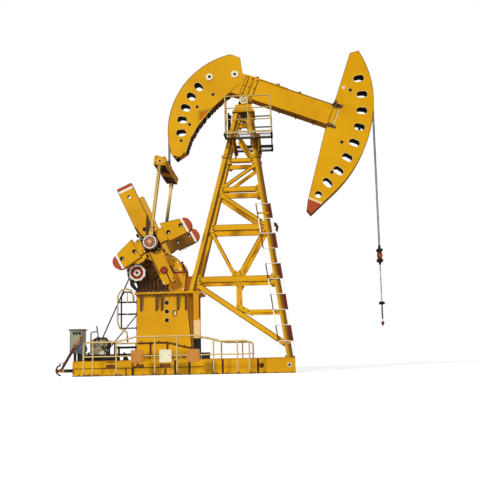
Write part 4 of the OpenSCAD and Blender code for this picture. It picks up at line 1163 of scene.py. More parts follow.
m = Mesh()
for y in (-0.11, 0.11):
    r = ROPE_R - UPC
    twist(m, [(UPC + r * math.cos(math.radians(a)), y, PZ + r * math.sin(math.radians(a))) for a in [27 * k / 110 for k in range(111)]], ROPE)
    m.cyl((UPC + r * math.cos(math.radians(26.0)), y, PZ + r * math.sin(math.radians(26.0))), (UPC + r * math.cos(math.radians(27.6)), y, PZ + r * math.sin(math.radians(27.6))), 0.021, 16, 1)
o = piece("front_rope_wraps", m, [M_WIRE, M_IRON], None)
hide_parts("wrapped_ropes")
a = math.radians(10)
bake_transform(o)

m = Mesh()
for y in (-0.11, 0.11):
    twist(m, [(RC[0] + RROPE_R * math.cos(math.radians(a)), y, RC[1] + RROPE_R * math.sin(math.radians(a))) for a in [125 + 55 * k / 170 for k in range(171)]], ROPE)
    m.cyl((RC[0] + RROPE_R * math.cos(math.radians(125)), y, RC[1] + RROPE_R * math.sin(math.radians(125))),
          (RC[0] + RROPE_R * math.cos(math.radians(127)), y, RC[1] + RROPE_R * math.sin(math.radians(127))), 0.021, 16, 1)
piece("rear_rope_wraps", m, [M_WIRE2, M_IRON], "beam")
m = Mesh()
rx = RC[0] - RROPE_R
for y in (-0.11, 0.11):
    z0, z1 = EQ[1] + 0.13, RC[1] - 0.008
    twist(m, [(rx, y, z0 + (z1 - z0) * k / 80) for k in range(81)], ROPE)
    m.cyl((rx, y, z0), (rx, y, z0 + 0.13), 0.027, 20, 1, 0.018, 0.004)
    m.bolt((rx, y, z0 - 0.002), (0, 0, 1), 0.034, 1, washer=False)
o = piece("rear_rope_ends", m, [M_WIRE2, M_IRON], "pitman")
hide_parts("rear_rope_tail")

# ---------------------------------------------------------------- carrier and polished rod
m = Mesh()
rx, cz_ = ROPE_R, CARR


def rbox(x, y, z0, z1, mi, ch=0.012):
    loop = [(x - ch, y), (x, y - ch), (x, -y + ch), (x - ch, -y), (-x + ch, -y), (-x, -y + ch), (-x, y - ch), (-x + ch, y)]
    m.prism([(rx + a, b, 0) for a, b in loop], (0, 0, z0), (0, 0, z1), mi)


rbox(0.075, 0.150, cz_ - 0.055, cz_ - 0.004, 0)
rbox(0.055, 0.070, cz_ - 0.280, cz_ - 0.054, 1)
rbox(0.080, 0.095, cz_ - 0.345, cz_ - 0.279, 0)
m.box((rx + 0.056, -0.06, cz_ - 0.335), (rx + 0.0815, 0.06, cz_ - 0.289), 2)
for s in (-1, 1):
    m.box((rx - 0.062, min(s * 0.062, s * 0.080), cz_ - 0.20), (rx + 0.004, max(s * 0.062, s * 0.080), cz_ - 0.12), 0)
    m.revolve((rx + 0.012, s * 0.068, cz_ - 0.17), (0, s, 0), [(0.062, 0), (0.062, 0.010), (0.050, 0.018), (0, 0.018)], 28, 2)
    for dz in (-0.09, -0.245):
        for dx in (-0.035, 0.035):
            m.bolt((rx + dx, s * 0.070, cz_ + dz), (0, s, 0), 0.011, 3)
    # rope sockets and their nuts
    m.cyl((rx, s * 0.11, cz_ - 0.004), (rx, s * 0.11, cz_ + 0.10), 0.026, 20, 0, 0.018, 0.004)
    m.bolt((rx, s * 0.11, cz_ - 0.055), (0, 0, -1), 0.026, 3)
m.revolve((rx, 0, cz_ - 0.345), (0, 0, -1), [(0.042, 0), (0.042, 0.014), (0.036, 0.020), (0.022, 0.082), (0.017, 0.084)], 28, 0)
m.bolt((rx, 0, cz_ - 0.004), (0, 0, 1), 0.036, 3, nut=False)
o = piece("carrier_clamp", m, [M_BLACK, M_DRED, M_RED, M_BOLT], "carrier", bevel=0.002)
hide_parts("carrier_bar")

m = Mesh()
m.cyl((rx, 0, 1.15), (rx, 0, cz_ + 0.06), 0.016, 24, 0, ch=0.002)
m.revolve((rx, 0, 1.73), Z, [(0.016, 0.0), (0.060, 0.0), (0.078, 0.014), (0.080, 0.028), (0.080, 0.052), (0.074, 0.066), (0.030, 0.080), (0.016, 0.080)], 40, 1)
m.cyl((rx, 0, 1.345), (rx, 0, 1.73), 0.0195, 20, 3)
m.cyl((rx, 0, 1.28), (rx, 0, 1.345), 0.0185, 20, 4)
m.revolve((rx, 0, 1.21), Z, [(0.018, 0.0), (0.036, 0.0), (0.042, 0.008), (0.042, 0.062), (0.036, 0.070), (0.018, 0.070)], 6, 2)
m.ring((rx, 0, 1.19), Z, 0.016, 0.030, 0.02, 20, 2)
o = piece("polished_rod_fittings", m, [M_ROD, M_BLACK, M_DRED, M_IRON, M_WHITE], "carrier", smooth=30)
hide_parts("polished_rod")

# ---------------------------------------------------------------- cranks, weights, pins
CV = Vector((math.cos(LEAN), 0, math.sin(LEAN)))
CU = Vector((-math.sin(LEAN), 0, math.cos(LEAN)))
WT = LEAN + math.radians(3.5)
WV = Vector((math.cos(WT), 0, math.sin(WT)))
WU = Vector((-math.sin(WT), 0, math.cos(WT)))


def wt_p(u, v, y):
    """Point on the turned counterweights: u and v as on the arm."""
    c = crank_p(0.81, 0.025, 0)
    p = c + WU * (u - 0.80) + WV * v
    return Vector((p.x, y, p.z))


# dark olive-brown for the fork plates beside the pitman: painted shadow
M_FORK = paint("fork_plate_enamel", base=(0.125, 0.062, 0.006), base2=(0.08, 0.036, 0.005), grime_and_shade_amount=0.4, worn=0.2)
for s in (-1, 1):
    m = Mesh()
    pc = Vector((PIN[0], 0, PIN[1]))
    F = 0.950                                     # outer face of an arm
    n = (0, s, 0)
    # edge strips along the arm
    for a, b in (((0.46, -0.209), (2.47, -0.209)), ((0.46, 0.209), (2.47, 0.209))):
        m.bar(crank_p(a[0], a[1], s * (F + 0.001)), crank_p(b[0], b[1], s * (F + 0.001)), 0.012, 0.005, Y, 1)
    # clamps and T-bolts that hold the weights to the arm
    for u in (0.70, 0.97):
        for v in (-0.255, 0.255):
            c = crank_p(u, v, s * (F + 0.021))
            m.obox(c, (CU, Y, CV), (0.052, 0.019, 0.080), 0)
            m.bolt(crank_p(u, v + (0.03 if v > 0 else -0.03), s * (F + 0.040)), n, 0.016, 2)
            m.bolt(crank_p(u, v - (0.035 if v > 0 else -0.035), s * (F + 0.040)), n, 0.016, 2)
    for u, v in ((0.52, -0.235), (0.46, 0.225), (1.13, -0.240), (1.16, 0.238)):
        m.obox(crank_p(u, v, s * (F - 0.01)), (CU, Y, CV), (0.045, 0.045, 0.022), 0)
    # long stiffening bars on the arm beside the pin
    m.bar(crank_p(1.02, -0.13, s * (F + 0.012)), crank_p(1.36, -0.205, s * (F + 0.012)), 0.030, 0.024, Y, 0)
    m.bar(crank_p(-0.05, -0.140, s * (F + 0.006)), crank_p(0.56, -0.155, s * (F + 0.006)), 0.022, 0.012, Y, 3)
    m.bar(crank_p(0.56, 0.203, s * (F + 0.010)), crank_p(1.14, 0.203, s * (F + 0.010)), 0.022, 0.020, Y, 3)
    # clamp blocks left of the hub
    for a in (158, 184, 208, 236, 322):
        t = math.radians(a)
        d = Vector((math.cos(t), 0, math.sin(t)))
        m.obox(pc + d * 0.262 + Vector((0, s * (F + 0.024), 0)), (d, Y, d.cross(Y)), (0.034, 0.026, 0.042), 0)
        m.bolt(pc + d * 0.266 + Vector((0, s * (F + 0.048), 0)), n, 0.013, 5)
    # an adjusting hole, shown as a bush
    m.ring(crank_p(1.203, 0, s * (F - 0.003)), n, 0.0455, 0.058, 0.007, 28, 1)
    m.cyl(crank_p(1.203, 0, s * (F - 0.10)), crank_p(1.203, 0, s * (F - 0.004)), 0.0449, 24, 0)
    # shaft end: clamp slot, pinch bolts, keeper
    m.ring(crank_p(0, 0, s * (F + 0.020)), n, 0.066, 0.0935, 0.005, 32, 4)
    m.bar(crank_p(-0.10, 0.03, s * (F + 0.001)), crank_p(-0.368, 0.03, s * (F + 0.001)), 0.030, 0.006, Y, 0)
    m.bolt(crank_p(-0.30, -0.135, s * F), n, 0.022, 5)
    m.bolt(crank_p(-0.30, 0.135, s * F), n, 0.018, 2)
    m.bolt(crank_p(-0.372, -0.10, s * (F - 0.075)), tuple(-CU), 0.022, 2, nut=True)
    m.bolt(crank_p(-0.372, 0.11, s * (F - 0.075)), tuple(-CU), 0.022, 2, nut=True)
    # hub behind the pitman eye
    m.revolve(pc + Vector((0, s * (F - 0.004), 0)), n, [(0.232, 0), (0.232, 0.045), (0.205, 0.066), (0.0615, 0.066)], 48, 0)
    for k in range(8):
        a = math.radians(22 + 45 * k)
        q = pc + Vector((0.246 * math.cos(a), s * (F + 0.020), 0.246 * math.sin(a)))
        m.obox(q, (Vector((math.cos(a), 0, math.sin(a))), Y, Vector((-math.sin(a), 0, math.cos(a)))), (0.022, 0.022, 0.026), 0)
    # weights: edge strips, lifting bosses, joint line between arm side and cap
    W = 1.005
    for q in (-1, 1):
        for a, b in (((0.560, 0.425), (0.557, 0.940)), ((1.116, 0.425), (0.965, 0.938)), ((0.60, 0.425), (1.10, 0.425))):
            m.bar(wt_p(a[0], q * a[1], s * (W + 0.0005)), wt_p(b[0], q * b[1], s * (W + 0.0005)), 0.011, 0.004, Y, 1)
        for v in (0.51, 0.88):
            m.ring(wt_p(0.80, q * v, s * (W - 0.001)), n, 0.0485, 0.060, 0.005, 28, 1)
            m.ring(wt_p(0.80, q * v, s * (W - 0.195)), n, 0.031, 0.0478, 0.185, 28, 0)
        m.bolt(wt_p(0.66, q * 0.32, s * W), n, 0.0095, 2)
        m.bolt(wt_p(0.98, q * 0.32, s * W), n, 0.0095, 2)
    piece("crank_fittings_" + ("near" if s < 0 else "far"), m, [M_BLACK, M_OLIVE, M_BOLT, M_DARKBR, M_DRED, M_PALEBOLT, M_IRON], "crank", bevel=0.003)

    # wrist pin
    m = Mesh()
    m.cyl(pc + Vector((0, s * 0.80, 0)), pc + Vector((0, s * 1.150, 0)), 0.0598, 40, 0)
    m.revolve(pc + Vector((0, s * 1.1495, 0)), n, [(0.094, 0), (0.094, 0.008), (0.088, 0.0125), (0.061, 0.0125)], 44, 1)
    m.revolve(pc + Vector((0, s * 1.1495, 0)), n, [(0.0612, 0), (0.0612, 0.016), (0.052, 0.0205), (0, 0.0205)], 40, 2)
    for k in range(3):
        a = math.radians(90 + 120 * k)
        m.bolt(pc + Vector((0.034 * math.cos(a), s * 1.1695, 0.034 * math.sin(a))), n, 0.008, 3, washer=False)
    o = piece("wrist_pin_" + ("near" if s < 0 else "far"), m, [M_CREAM, M_RED, M_PEACH, M_RED], "crank")
    if s < 0:
        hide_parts("wrist_pins")

    # rings on the pitman eye, and the dark fork plate beside the bar: painted shadow
    m = Mesh()
    e = pc + Vector((0, s * 1.1445, 0))
    m.ring(e, n, 0.142, 0.177, 0.012, 48, 0)
    m.ring(e, n, 0.106, 0.1425, 0.006, 48, 1)
    m.ring(e, n, 0.0965, 0.1065, 0.010, 48, 0)
    m.ring(e, n, 0.1765, 0.1945, 0.004, 48, 2)
    for k in range(12):
        a = math.radians(15 + 30 * k)
        m.bolt(e + Vector((0.124 * math.cos(a), s * 0.005, 0.124 * math.sin(a))), n, 0.008, 3, washer=False)
    pd = (Vector((EQ[0], 0, EQ[1])) - pc)
    L = pd.length
    pd.normalize()
    pn = Vector((pd.z, 0, -pd.x))
    P = lambda a, b, y: pc + pd * a + pn * b + Vector((0, s * y, 0))
    m.prism([P(a, b, 0) for a, b in ((0.70, -0.190), (0.72, -0.155), (0.42, -0.048), (0.20, -0.040), (0.155, -0.115), (0.21, -0.150))], (0, s * 1.032, 0), (0, s * 1.070, 0), 4)
    m.prism([P(a, b, 0) for a, b in ((0.69, -0.182), (0.70, -0.168), (0.30, -0.058), (0.22, -0.120))], (0, s * 1.070, 0), (0, s * 1.078, 0), 7)
    # centre strip: orange on the near pitman, dark brown on the far one as painted shade
    m.bar(P(0.31, -0.004, 1.1455), P(L - 0.14, -0.004, 1.1455), 0.012, 0.003, Y, 5 if s < 0 else 6)
    for b in (-0.033, 0.033):
        m.bar(P(0.36, b, 1.1455), P(L - 0.125, b, 1.1455), 0.006, 0.003, Y, 4)
    for a in (0.30, 0.38, L - 0.20, L - 0.28):
        m.bolt(P(a, 0, 1.147), n, 0.013, 3)
    m.obox(P(L - 0.20, 0, 1.085), (pd, pn, Y), (0.075, 0.052, 0.052), 7)
    piece("pitman_fittings_" + ("near" if s < 0 else "far"), m, [M_WHITE, M_RED, M_IRON, M_BOLT, M_FORK, M_ORANGE, M_DARKBR, M_FORK], "pitman", bevel=0.002)

# equaliser: end plates, recess on top, pins, rope saddle
m = Mesh()
ea = math.atan2(EQ[1] - PIN[1], EQ[0] - PIN[0]) - math.pi / 2


def eq_p(x, y, z):
    return Vector((EQ[0] + x * math.cos(ea) - z * math.sin(ea), y, EQ[1] + x * math.sin(ea) + z * math.cos(ea)))


for s in (-1, 1):
    m.prism([eq_p(a, 0, b) for a, b in ((-0.156, -0.126), (0.156, -0.126), (0.171, 0.060), (0.124, 0.126), (0.040, 0.096), (-0.058, 0.126), (-0.156, 0.116))], (0, s * 1.150, 0), (0, s * 1.172, 0), 0)
    m.prism([eq_p(a, 0, b) for a, b in ((-0.149, -0.1205), (0.149, -0.1205), (0.155, -0.128), (-0.155, -0.128))], (0, s * 0.25, 0), (0, s * 1.14, 0), 1)
    for x, z in ((-0.11, -0.08), (0.11, -0.08), (-0.11, 0.07), (0.115, 0.07)):
        m.bolt(eq_p(x, s * 1.172, z), (0, s, 0), 0.016, 2)
    m.ring(eq_p(0.0, s * 1.172, -0.02), (0, s, 0), 0.030, 0.058, 0.010, 32, 3)
    m.cyl(eq_p(0.0, s * 1.165, -0.02), eq_p(0.0, s * 1.176, -0.02), 0.031, 24, 1)
    m.obox(eq_p(0.0, s * 0.60, 0.107), (eq_p(1, 0, 0) - eq_p(0, 0, 0), Y, eq_p(0, 0, 1) - eq_p(0, 0, 0)), (0.10, 0.30, 0.006), 4)
m.cyl((RC[0] - RROPE_R, -0.16, EQ[1] + 0.085), (RC[0] - RROPE_R, 0.16, EQ[1] + 0.085), 0.030, 20, 1)
for y in (-0.165, 0.165):
    m.bolt((RC[0] - RROPE_R, y, EQ[1] + 0.085), (0, 1 if y > 0 else -1, 0), 0.024, 2, nut=True)
piece("equaliser_fittings", m, [M_YEL, M_DARKBR, M_BOLT, M_PEACH, M_ORANGE, M_BLACK], "pitman", bevel=0.003)

# ---------------------------------------------------------------- gearbox, brake, sheaves, belts
m = Mesh()
sh = Vector((SH[0], 0, SH[1]))


def arc_pts(c, r, a0, a1, n, y=0.0):
    return [Vector((c[0] + r * math.cos(math.radians(a0 + (a1 - a0) * k / n)), y, c[1] + r * math.sin(math.radians(a0 + (a1 - a0) * k / n)))) for k in range(n + 1)]


for s in (-1, 1):
    Yv = lambda d: (0, s * d, 0)
    # bright half cover to the right of the arm, on a flange
    o_, i_ = arc_pts(SH, 0.440, -38, 92, 28), arc_pts(SH, 0.140, -38, 92, 28)
    m.prism(o_ + i_[::-1], Yv(0.518), Yv(0.600), 0)
    o_, i_ = arc_pts(SH, 0.462, -36, 100, 28), arc_pts(SH, 0.430, -36, 100, 28)
    m.prism(o_ + i_[::-1], Yv(0.518), Yv(0.560), 0)
    o_, i_ = arc_pts(SH, 0.452, -36, 100, 28), arc_pts(SH, 0.441, -36, 100, 28)
    m.prism(o_ + i_[::-1], Yv(0.560), Yv(0.5625), 2)
    for a in (-22, 6, 34, 62, 88):
        q = sh + Vector((0.395 * math.cos(math.radians(a)), s * 0.600, 0.395 * math.sin(math.radians(a))))
        m.bolt(q, (0, s, 0), 0.022, 3)
    for q in ((-1.899, 2.754), (-1.875, 2.66)):
        m.bolt((q[0], s * 0.600, q[1]), (0, s, 0), 0.046, 7)
    # bearing housing round the crank shaft
    m.revolve(sh + Vector((0, s * 0.518, 0)), (0, s, 0), [(0.20, 0), (0.20, 0.10), (0.185, 0.13), (0.130, 0.135)], 48, 1)
    for k in range(8):
        a = math.radians(22.5 + 45 * k)
        m.bolt(sh + Vector((0.165 * math.cos(a), s * 0.651, 0.165 * math.sin(a))), (0, s, 0), 0.016, 4)
    # rounded casing of the middle gear, dark brown as painted shade
    c2 = Vector((-2.575, 0, 2.760))
    m.revolve(c2 + Vector((0, s * 0.518, 0)), (0, s, 0), [(0.285, 0), (0.285, 0.045), (0.265, 0.075), (0.15, 0.085), (0.14, 0.105), (0, 0.105)], 48, 1)
    for k in range(8):
        a = math.radians(45 * k)
        m.bolt(c2 + Vector((0.225 * math.cos(a), s * 0.590, 0.225 * math.sin(a))), (0, s, 0), 0.014, 4)
    for k in range(5):
        a = math.radians(-20 + 40 * k)
        d = Vector((math.cos(a), 0, math.sin(a)))
        m.obox(c2 + d * 0.20 + Vector((0, s * 0.603, 0)), (d, Y, d.cross(Y)), (0.055, 0.014, 0.007), 5)
    # ribbed lower body, in dark brown and black as painted shade
    x = -2.87
    k = 0
    while x < -2.05:
        m.box((x, min(s * 0.518, s * 0.575), 2.152), (x + 0.018, max(s * 0.518, s * 0.575), 2.50), 1 if k % 2 else 5)
        x += 0.105
        k += 1
    m.box((-2.90, min(s * 0.518, s * 0.600), 2.151), (-2.02, max(s * 0.518, s * 0.600), 2.178), 5)
    for k in range(8):
        m.bolt((-2.865 + 0.105 * k + 0.045, s * 0.588, 2.178), (0, 0, 1), 0.014, 3 if k % 3 == 0 else 4)
    m.box((-2.90, min(s * 0.518, s * 0.560), 2.50), (-2.46, max(s * 0.518, s * 0.560), 2.535), 1)
    # tapered box: pale corners, dark-red rim
    m.box((-2.028, min(s * 0.700, s * 0.728), 2.636), (-1.555, max(s * 0.700, s * 0.728), 2.670), 6)
    m.box((-1.585, min(s * 0.60, s * 0.728), 2.560), (-1.553, max(s * 0.60, s * 0.728), 2.700), 6)
    for x in (-1.985, -1.66):
        m.bolt((x, s * 0.700, 2.20), (0, s, 0), 0.016, 3)
        m.bolt((x, s * 0.700, 2.58), (0, s, 0), 0.016, 4)
    m.prism([(-1.648, s * 0.701, 2.155), (-1.630, s * 0.701, 2.155), (-1.586, s * 0.701, 2.636), (-1.602, s * 0.701, 2.636)], (0, 0, 0), (0, s * 0.004, 0), 5)
# top cover flange, breather, dipstick and drain rod
m.box((-2.45, -0.20, 3.075), (-2.02, 0.20, 3.132), 1)
m.cyl((-2.20, 0, 3.13), (-2.20, 0, 3.21), 0.030, 18, 4)
m.revolve((-2.20, 0, 3.20), Z, [(0.045, 0), (0.045, 0.035), (0.030, 0.055), (0, 0.055)], 20, 4)
m.tube([(-1.715, -0.50, 2.925), (-1.700, -0.56, 2.88), (-1.605, -0.56, 2.60), (-1.600, -0.56, 2.50)], 0.017, 10, 5)
m.cyl((-1.725, -0.50, 2.915), (-1.705, -0.50, 2.955), 0.030, 12, 5)
piece("gearbox_fittings", m, [M_YEL, M_DARKBR, M_OLIVE, M_PALEBOLT, M_BOLT, M_BLACK, M_DRED, M_PALE], "root", bevel=0.004)

# brake drum with its wavy rim, band and link
m = Mesh()
ic = Vector((INP[0], 0, INP[1]))
wav = lambda q, t: (0.009 * math.cos(9 * t) if q in (1, 2, 3, 4) else 0)
m.cyl(ic + Vector((0, -0.518, 0)), ic + Vector((0, -0.66, 0)), 0.055, 24, 4)
m.revolve(ic + Vector((0, -0.640, 0)), (0, -1, 0), [(0.150, 0), (0.208, 0.0), (0.218, 0.012), (0.218, 0.122), (0.212, 0.130), (0.168, 0.130), (0.168, 0.06), (0.150, 0.06)], 90, 0, True, wav)
m.revolve(ic + Vector((0, -0.700, 0)), (0, -1, 0), [(0.170, 0), (0.170, 0.058), (0.088, 0.066), (0.084, 0.050)], 60, 1)
m.revolve(ic + Vector((0, -0.750, 0)), (0, -1, 0), [(0.086, 0), (0.086, 0.024), (0.040, 0.030), (0.0, 0.030)], 48, 0)
m.revolve(ic + Vector((0, -0.762, 0)), (0, -1, 0), [(0.027, 0), (0.027, 0.0225), (0.0, 0.0225)], 32, 2)
for k in range(8):
    a = math.radians(22.5 + 45 * k)
    m.bolt(ic + Vector((0.130 * math.cos(a), -0.7620, 0.130 * math.sin(a))), (0, -1, 0), 0.017, 5, washer=False)
for k in range(9):
    a = math.radians(30 + 40 * k)
    d = Vector((math.cos(a), 0, math.sin(a)))
    m.obox(ic + d * 0.216 + Vector((0, -0.700, 0)), (d, Y, d.cross(Y)), (0.008, 0.050, 0.020), 2)
o = piece("brake_drum_rim", m, [M_WHITE, M_RED, M_BLACK, M_BOLT, M_IRON, M_DRED], "root")
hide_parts("brake_drum")
m = Mesh()
band_o, band_i = arc_pts(INP, 0.262, 95, 262, 40), arc_pts(INP, 0.232, 95, 262, 40)
m.prism(band_o + band_i[::-1], (0, -0.742, 0), (0, -0.640, 0), 0)
for a in (110, 150, 190, 230, 255):
    q = ic + Vector((0.262 * math.cos(math.radians(a)), -0.69, 0.262 * math.sin(math.radians(a))))
    m.bolt(q, (math.cos(math.radians(a)), 0, math.sin(math.radians(a))), 0.013, 1)
m.tube(round_path([(-2.93, -0.70, 2.425), (-3.06, -0.70, 2.47), (-3.05, -0.70, 2.34), (-2.93, -0.69, 2.22), (-2.86, -0.68, 2.165)], 0.10, 6), 0.024, 12, 0)
m.tube(round_path([(-2.93, -0.66, 2.45), (-2.87, -0.66, 2.33), (-2.88, -0.66, 2.16)], 0.06, 5), 0.018, 10, 0)
m.box((-2.93, -0.715, 2.150), (-2.80, -0.640, 2.172), 1)
m.cyl((-3.06, -0.74, 2.45), (-3.06, -0.65, 2.45), 0.030, 18, 1)
piece("brake_band", m, [M_BLACK, M_BOLT], "root", bevel=0.002)


def grooved(m, c, r, y0, y1, k, depth, inner, mi=0, seg=64):
    """Grooved rim of a belt sheave from y0 to y1."""
    n = k
    w = (y1 - y0) / n
    prof = [(inner, 0), (r, 0)]
    for i in range(n):
        b = i * w
        prof += [(r, b + w * 0.10), (r - depth, b + w * 0.34), (r - depth, b + w * 0.66), (r, b + w * 0.90)]
    prof += [(r, y1 - y0), (inner, y1 - y0)]
    m.revolve(Vector((c[0], y0, c[1])), (0, 1, 0), prof, seg, mi, True)


m = Mesh()
grooved(m, INP, 0.445, 0.610, 0.770, 6, 0.016, 0.392, 0, 72)
m.revolve(ic + Vector((0, 0.612, 0)), Y, [(0.040, 0), (0.110, 0), (0.118, 0.012), (0.118, 0.145), (0.110, 0.158), (0.040, 0.158)], 40, 1)
for k in range(6):
    a = math.radians(60 * k + 12)
    d = Vector((math.cos(a), 0, math.sin(a)))
    m.prism([ic + d * 0.112 + d.cross(Y) * 0.045, ic + d * 0.398 + d.cross(Y) * 0.030, ic + d * 0.398 - d.cross(Y) * 0.030, ic + d * 0.112 - d.cross(Y) * 0.045], (0, 0.665, 0), (0, 0.715, 0), 1)
m.cyl(ic + Vector((0, -0.786, 0)), ic + Vector((0, -0.520, 0)), 0.0395, 28, 1)
m.cyl(ic + Vector((0, 0.518, 0)), ic + Vector((0, 0.785, 0)), 0.0395, 28, 1)
m.box((INP[0] - 0.008, 0.612, INP[1] + 0.034), (INP[0] + 0.008, 0.778, INP[1] + 0.046), 2)
for k in range(3):
    a = math.radians(120 * k + 40)
    m.bolt(ic + Vector((0.080 * math.cos(a), 0.770, 0.080 * math.sin(a))), Y, 0.014, 2)
o = piece("driven_sheave_grooves", m, [M_IRON, M_BLACK, M_BOLT], "root")
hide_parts("driven_sheave")

m = Mesh()
mc = Vector((MOT[0], 0, MOT[1]))
grooved(m, MOT, 0.140, 0.610, 0.770, 6, 0.014, 0.060, 0, 48)
m.revolve(mc + Vector((0, 0.618, 0)), Y, [(0.030, 0), (0.062, 0), (0.062, 0.145), (0.030, 0.145)], 32, 0)
o = piece("motor_sheave_grooves", m, [M_IRON], "root")
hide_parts("motor_sheave")

m = Mesh()
bd = Vector((MOT[0] - INP[0], 0, MOT[1] - INP[1]))
bl = bd.length
ba = math.degrees(math.atan2(bd.z, bd.x))
bb = math.degrees(math.asin((0.465 - 0.160) / bl))


def belt_loop(o_):
    return arc_pts(INP, 0.465 + o_, ba + 90 - bb, ba + 270 + bb, 44) + arc_pts(MOT, 0.160 + o_, ba - 90 + bb, ba + 90 - bb, 26)


w6 = 0.160 / 6
for k in range(1, 5):
    y = 0.610 + w6 * k
    for hw_, o0, o1 in ((0.0105, -0.001, -0.006), (0.0085, -0.006, -0.016)):
        outer, inner_ = belt_loop(o0), belt_loop(o1)
        m.ring_prism(outer, inner_, (0, y + w6 / 2 - hw_, 0), (0, y + w6 / 2 + hw_, 0), 0)
o = piece("v_belts", m, [M_RUB], "root")
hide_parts("drive_belts")


# ---------------------------------------------------------------- motor, seat, guards
m = Mesh()


def fins(c, y0, y1, r0, r1, n, mi):
    """Body with raised cooling fins that run along Y."""
    loop = []
    for k in range(n):
        for da, rr in ((0.0, r1), (0.22, r1), (0.30, r0), (0.92, r0)):
            a = 2 * math.pi * (k + da) / n
            loop.append(Vector((c[0] + rr * math.cos(a), 0, c[1] + rr * math.sin(a))))
    m.prism(loop, (0, y0, 0), (0, y1, 0), mi)


fins(MOT, -0.300, 0.380, 0.152, 0.167, 40, 0)
m.revolve(mc + Vector((0, -0.296, 0)), (0, -1, 0), [(0.164, 0), (0.168, 0.006), (0.168, 0.040), (0.156, 0.062), (0.144, 0.104), (0.130, 0.104), (0.130, 0.090), (0.0, 0.090)], 56, 1)
for r_ in (0.030, 0.056, 0.082, 0.108):
    m.ring(mc + Vector((0, -0.386, 0)), (0, -1, 0), r_, r_ + 0.014, 0.008, 40, 2)
for k in range(6):
    a = math.radians(60 * k)
    d = Vector((math.cos(a), 0, math.sin(a)))
    m.obox(mc + d * 0.072 + Vector((0, -0.391, 0)), (d, Y, d.cross(Y)), (0.056, 0.004, 0.006), 2)
m.revolve(mc + Vector((0, 0.378, 0)), Y, [(0.164, 0), (0.168, 0.006), (0.168, 0.040), (0.150, 0.060), (0.140, 0.100), (0.060, 0.102), (0.030, 0.102)], 56, 1)
for y in (-0.25, 0.25):
    for s in (-1, 1):
        m.prism([(MOT[0] + s * 0.060, y, 0.705), (MOT[0] + s * 0.150, y, 0.690), (MOT[0] + s * 0.205, y, 0.590), (MOT[0] + s * 0.205, y, 0.561), (MOT[0] + s * 0.060, y, 0.561)], (0, -0.055, 0), (0, 0.055, 0), 0)
        m.bolt((MOT[0] + s * 0.180, y, 0.600), (0, 0, 1), 0.018, 3, nut=True)
# terminal box with lid and glands
tb = Vector((MOT[0] + 0.190, 0.05, MOT[1] - 0.005))
m.box(tb + Vector((-0.070, -0.105, -0.060)), tb + Vector((0.045, 0.105, 0.060)), 0)
m.box(tb + Vector((0.045, -0.110, -0.064)), tb + Vector((0.059, 0.110, 0.064)), 1)
for dz in (-0.050, 0.050):
    for dy in (-0.092, 0.092):
        m.bolt(tb + Vector((0.059, dy, dz)), (1, 0, 0), 0.009, 3)
for dy in (-0.05, 0.05):
    m.cyl(tb + Vector((-0.010, dy, -0.060)), tb + Vector((-0.010, dy, -0.105)), 0.020, 14, 4, 0.015)
# lifting eye
m.tube([mc + Vector((0.026 * math.cos(math.radians(a)), -0.20, 0.182 + 0.026 * math.sin(math.radians(a)))) for a in range(0, 360, 24)], 0.009, 8, 3, closed=True)
m.cyl(mc + Vector((0, -0.20, 0.145)), mc + Vector((0, -0.20, 0.162)), 0.016, 12, 3)
m.cyl(mc + Vector((0, 0.479, 0)), mc + Vector((0, 0.774, 0)), 0.0278, 24, 5)
m.box((MOT[0] - 0.006, 0.56, MOT[1] + 0.024), (MOT[0] + 0.006, 0.765, MOT[1] + 0.033), 3)
o = piece("motor_body", m, [M_MOTOR, M_CREAM, M_MOTOR2, M_BOLT, M_BLACK, M_STEEL], "root", bevel=0.0)
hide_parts("motor")

m = Mesh()
# black tube frame over the motor, grey handle, slanted lever, slide rails behind
m.tube(round_path([(-4.10, -0.42, 0.93), (-4.02, -0.42, 0.985), (-3.76, -0.42, 0.985), (-3.725, -0.42, 0.90), (-3.725, -0.42, 0.56)], 0.04, 6), 0.020, 12, 0)
m.tube(round_path([(-4.10, -0.42, 0.93), (-4.13, -0.42, 0.80), (-4.13, -0.38, 0.56)], 0.04, 6), 0.018, 12, 1)
m.tube(round_path([(-3.98, -0.36, 0.70), (-3.90, -0.40, 0.80), (-3.77, -0.40, 0.62), (-3.72, -0.36, 0.56)], 0.06, 5), 0.017, 10, 0)
m.tube(round_path([(-4.18, -0.400, 0.62), (-4.18, -0.400, 1.145), (-4.00, -0.400, 1.165)], 0.05, 6), 0.019, 12, 1)
m.cyl((-4.035, -0.380, 1.305), (-3.975, -0.380, 0.95), 0.020, 12, 2, 0.013)
m.cyl((-3.975, -0.380, 0.97), (-3.965, -0.380, 0.90), 0.030, 12, 0)
for z, t in ((0.735, 0.030), (0.545, 0.026)):
    m.box((-3.72, 0.36, z - t), (-2.935, 0.42, z + t), 0)
for x in (-3.60, -3.05):
    m.box((x - 0.025, 0.37, 0.392), (x + 0.025, 0.41, 0.735), 0)
    m.bolt((x, 0.39, 0.765), (0, 0, 1), 0.014, 3)
# tensioning screws of the motor slide
for y in (-0.23, 0.23):
    m.cyl((-4.43, y, 0.585), (-4.24, y, 0.585), 0.012, 12, 3)
    m.bolt((-4.41, y, 0.585), (-1, 0, 0), 0.020, 3)
    m.box((-4.40, y - 0.03, 0.560), (-4.375, y + 0.03, 0.625), 0)
    for x in (-4.40, -3.60):
        m.bolt((x, y + (0.03 if y > 0 else -0.03), 0.404), (0, 0, 1), 0.014, 3, nut=True)
# brace wedges beside the seat
for x in (-3.52, -3.30):
    m.prism([(x, -0.50, 0.391), (x + 0.16, -0.50, 0.391), (x + 0.05, -0.50, 0.60), (x + 0.01, -0.50, 0.60)], (0, -0.012, 0), (0, 0.012, 0), 0)
piece("motor_guards", m, [M_BLACK, M_GREY, M_GREY2, M_BOLT], "root")

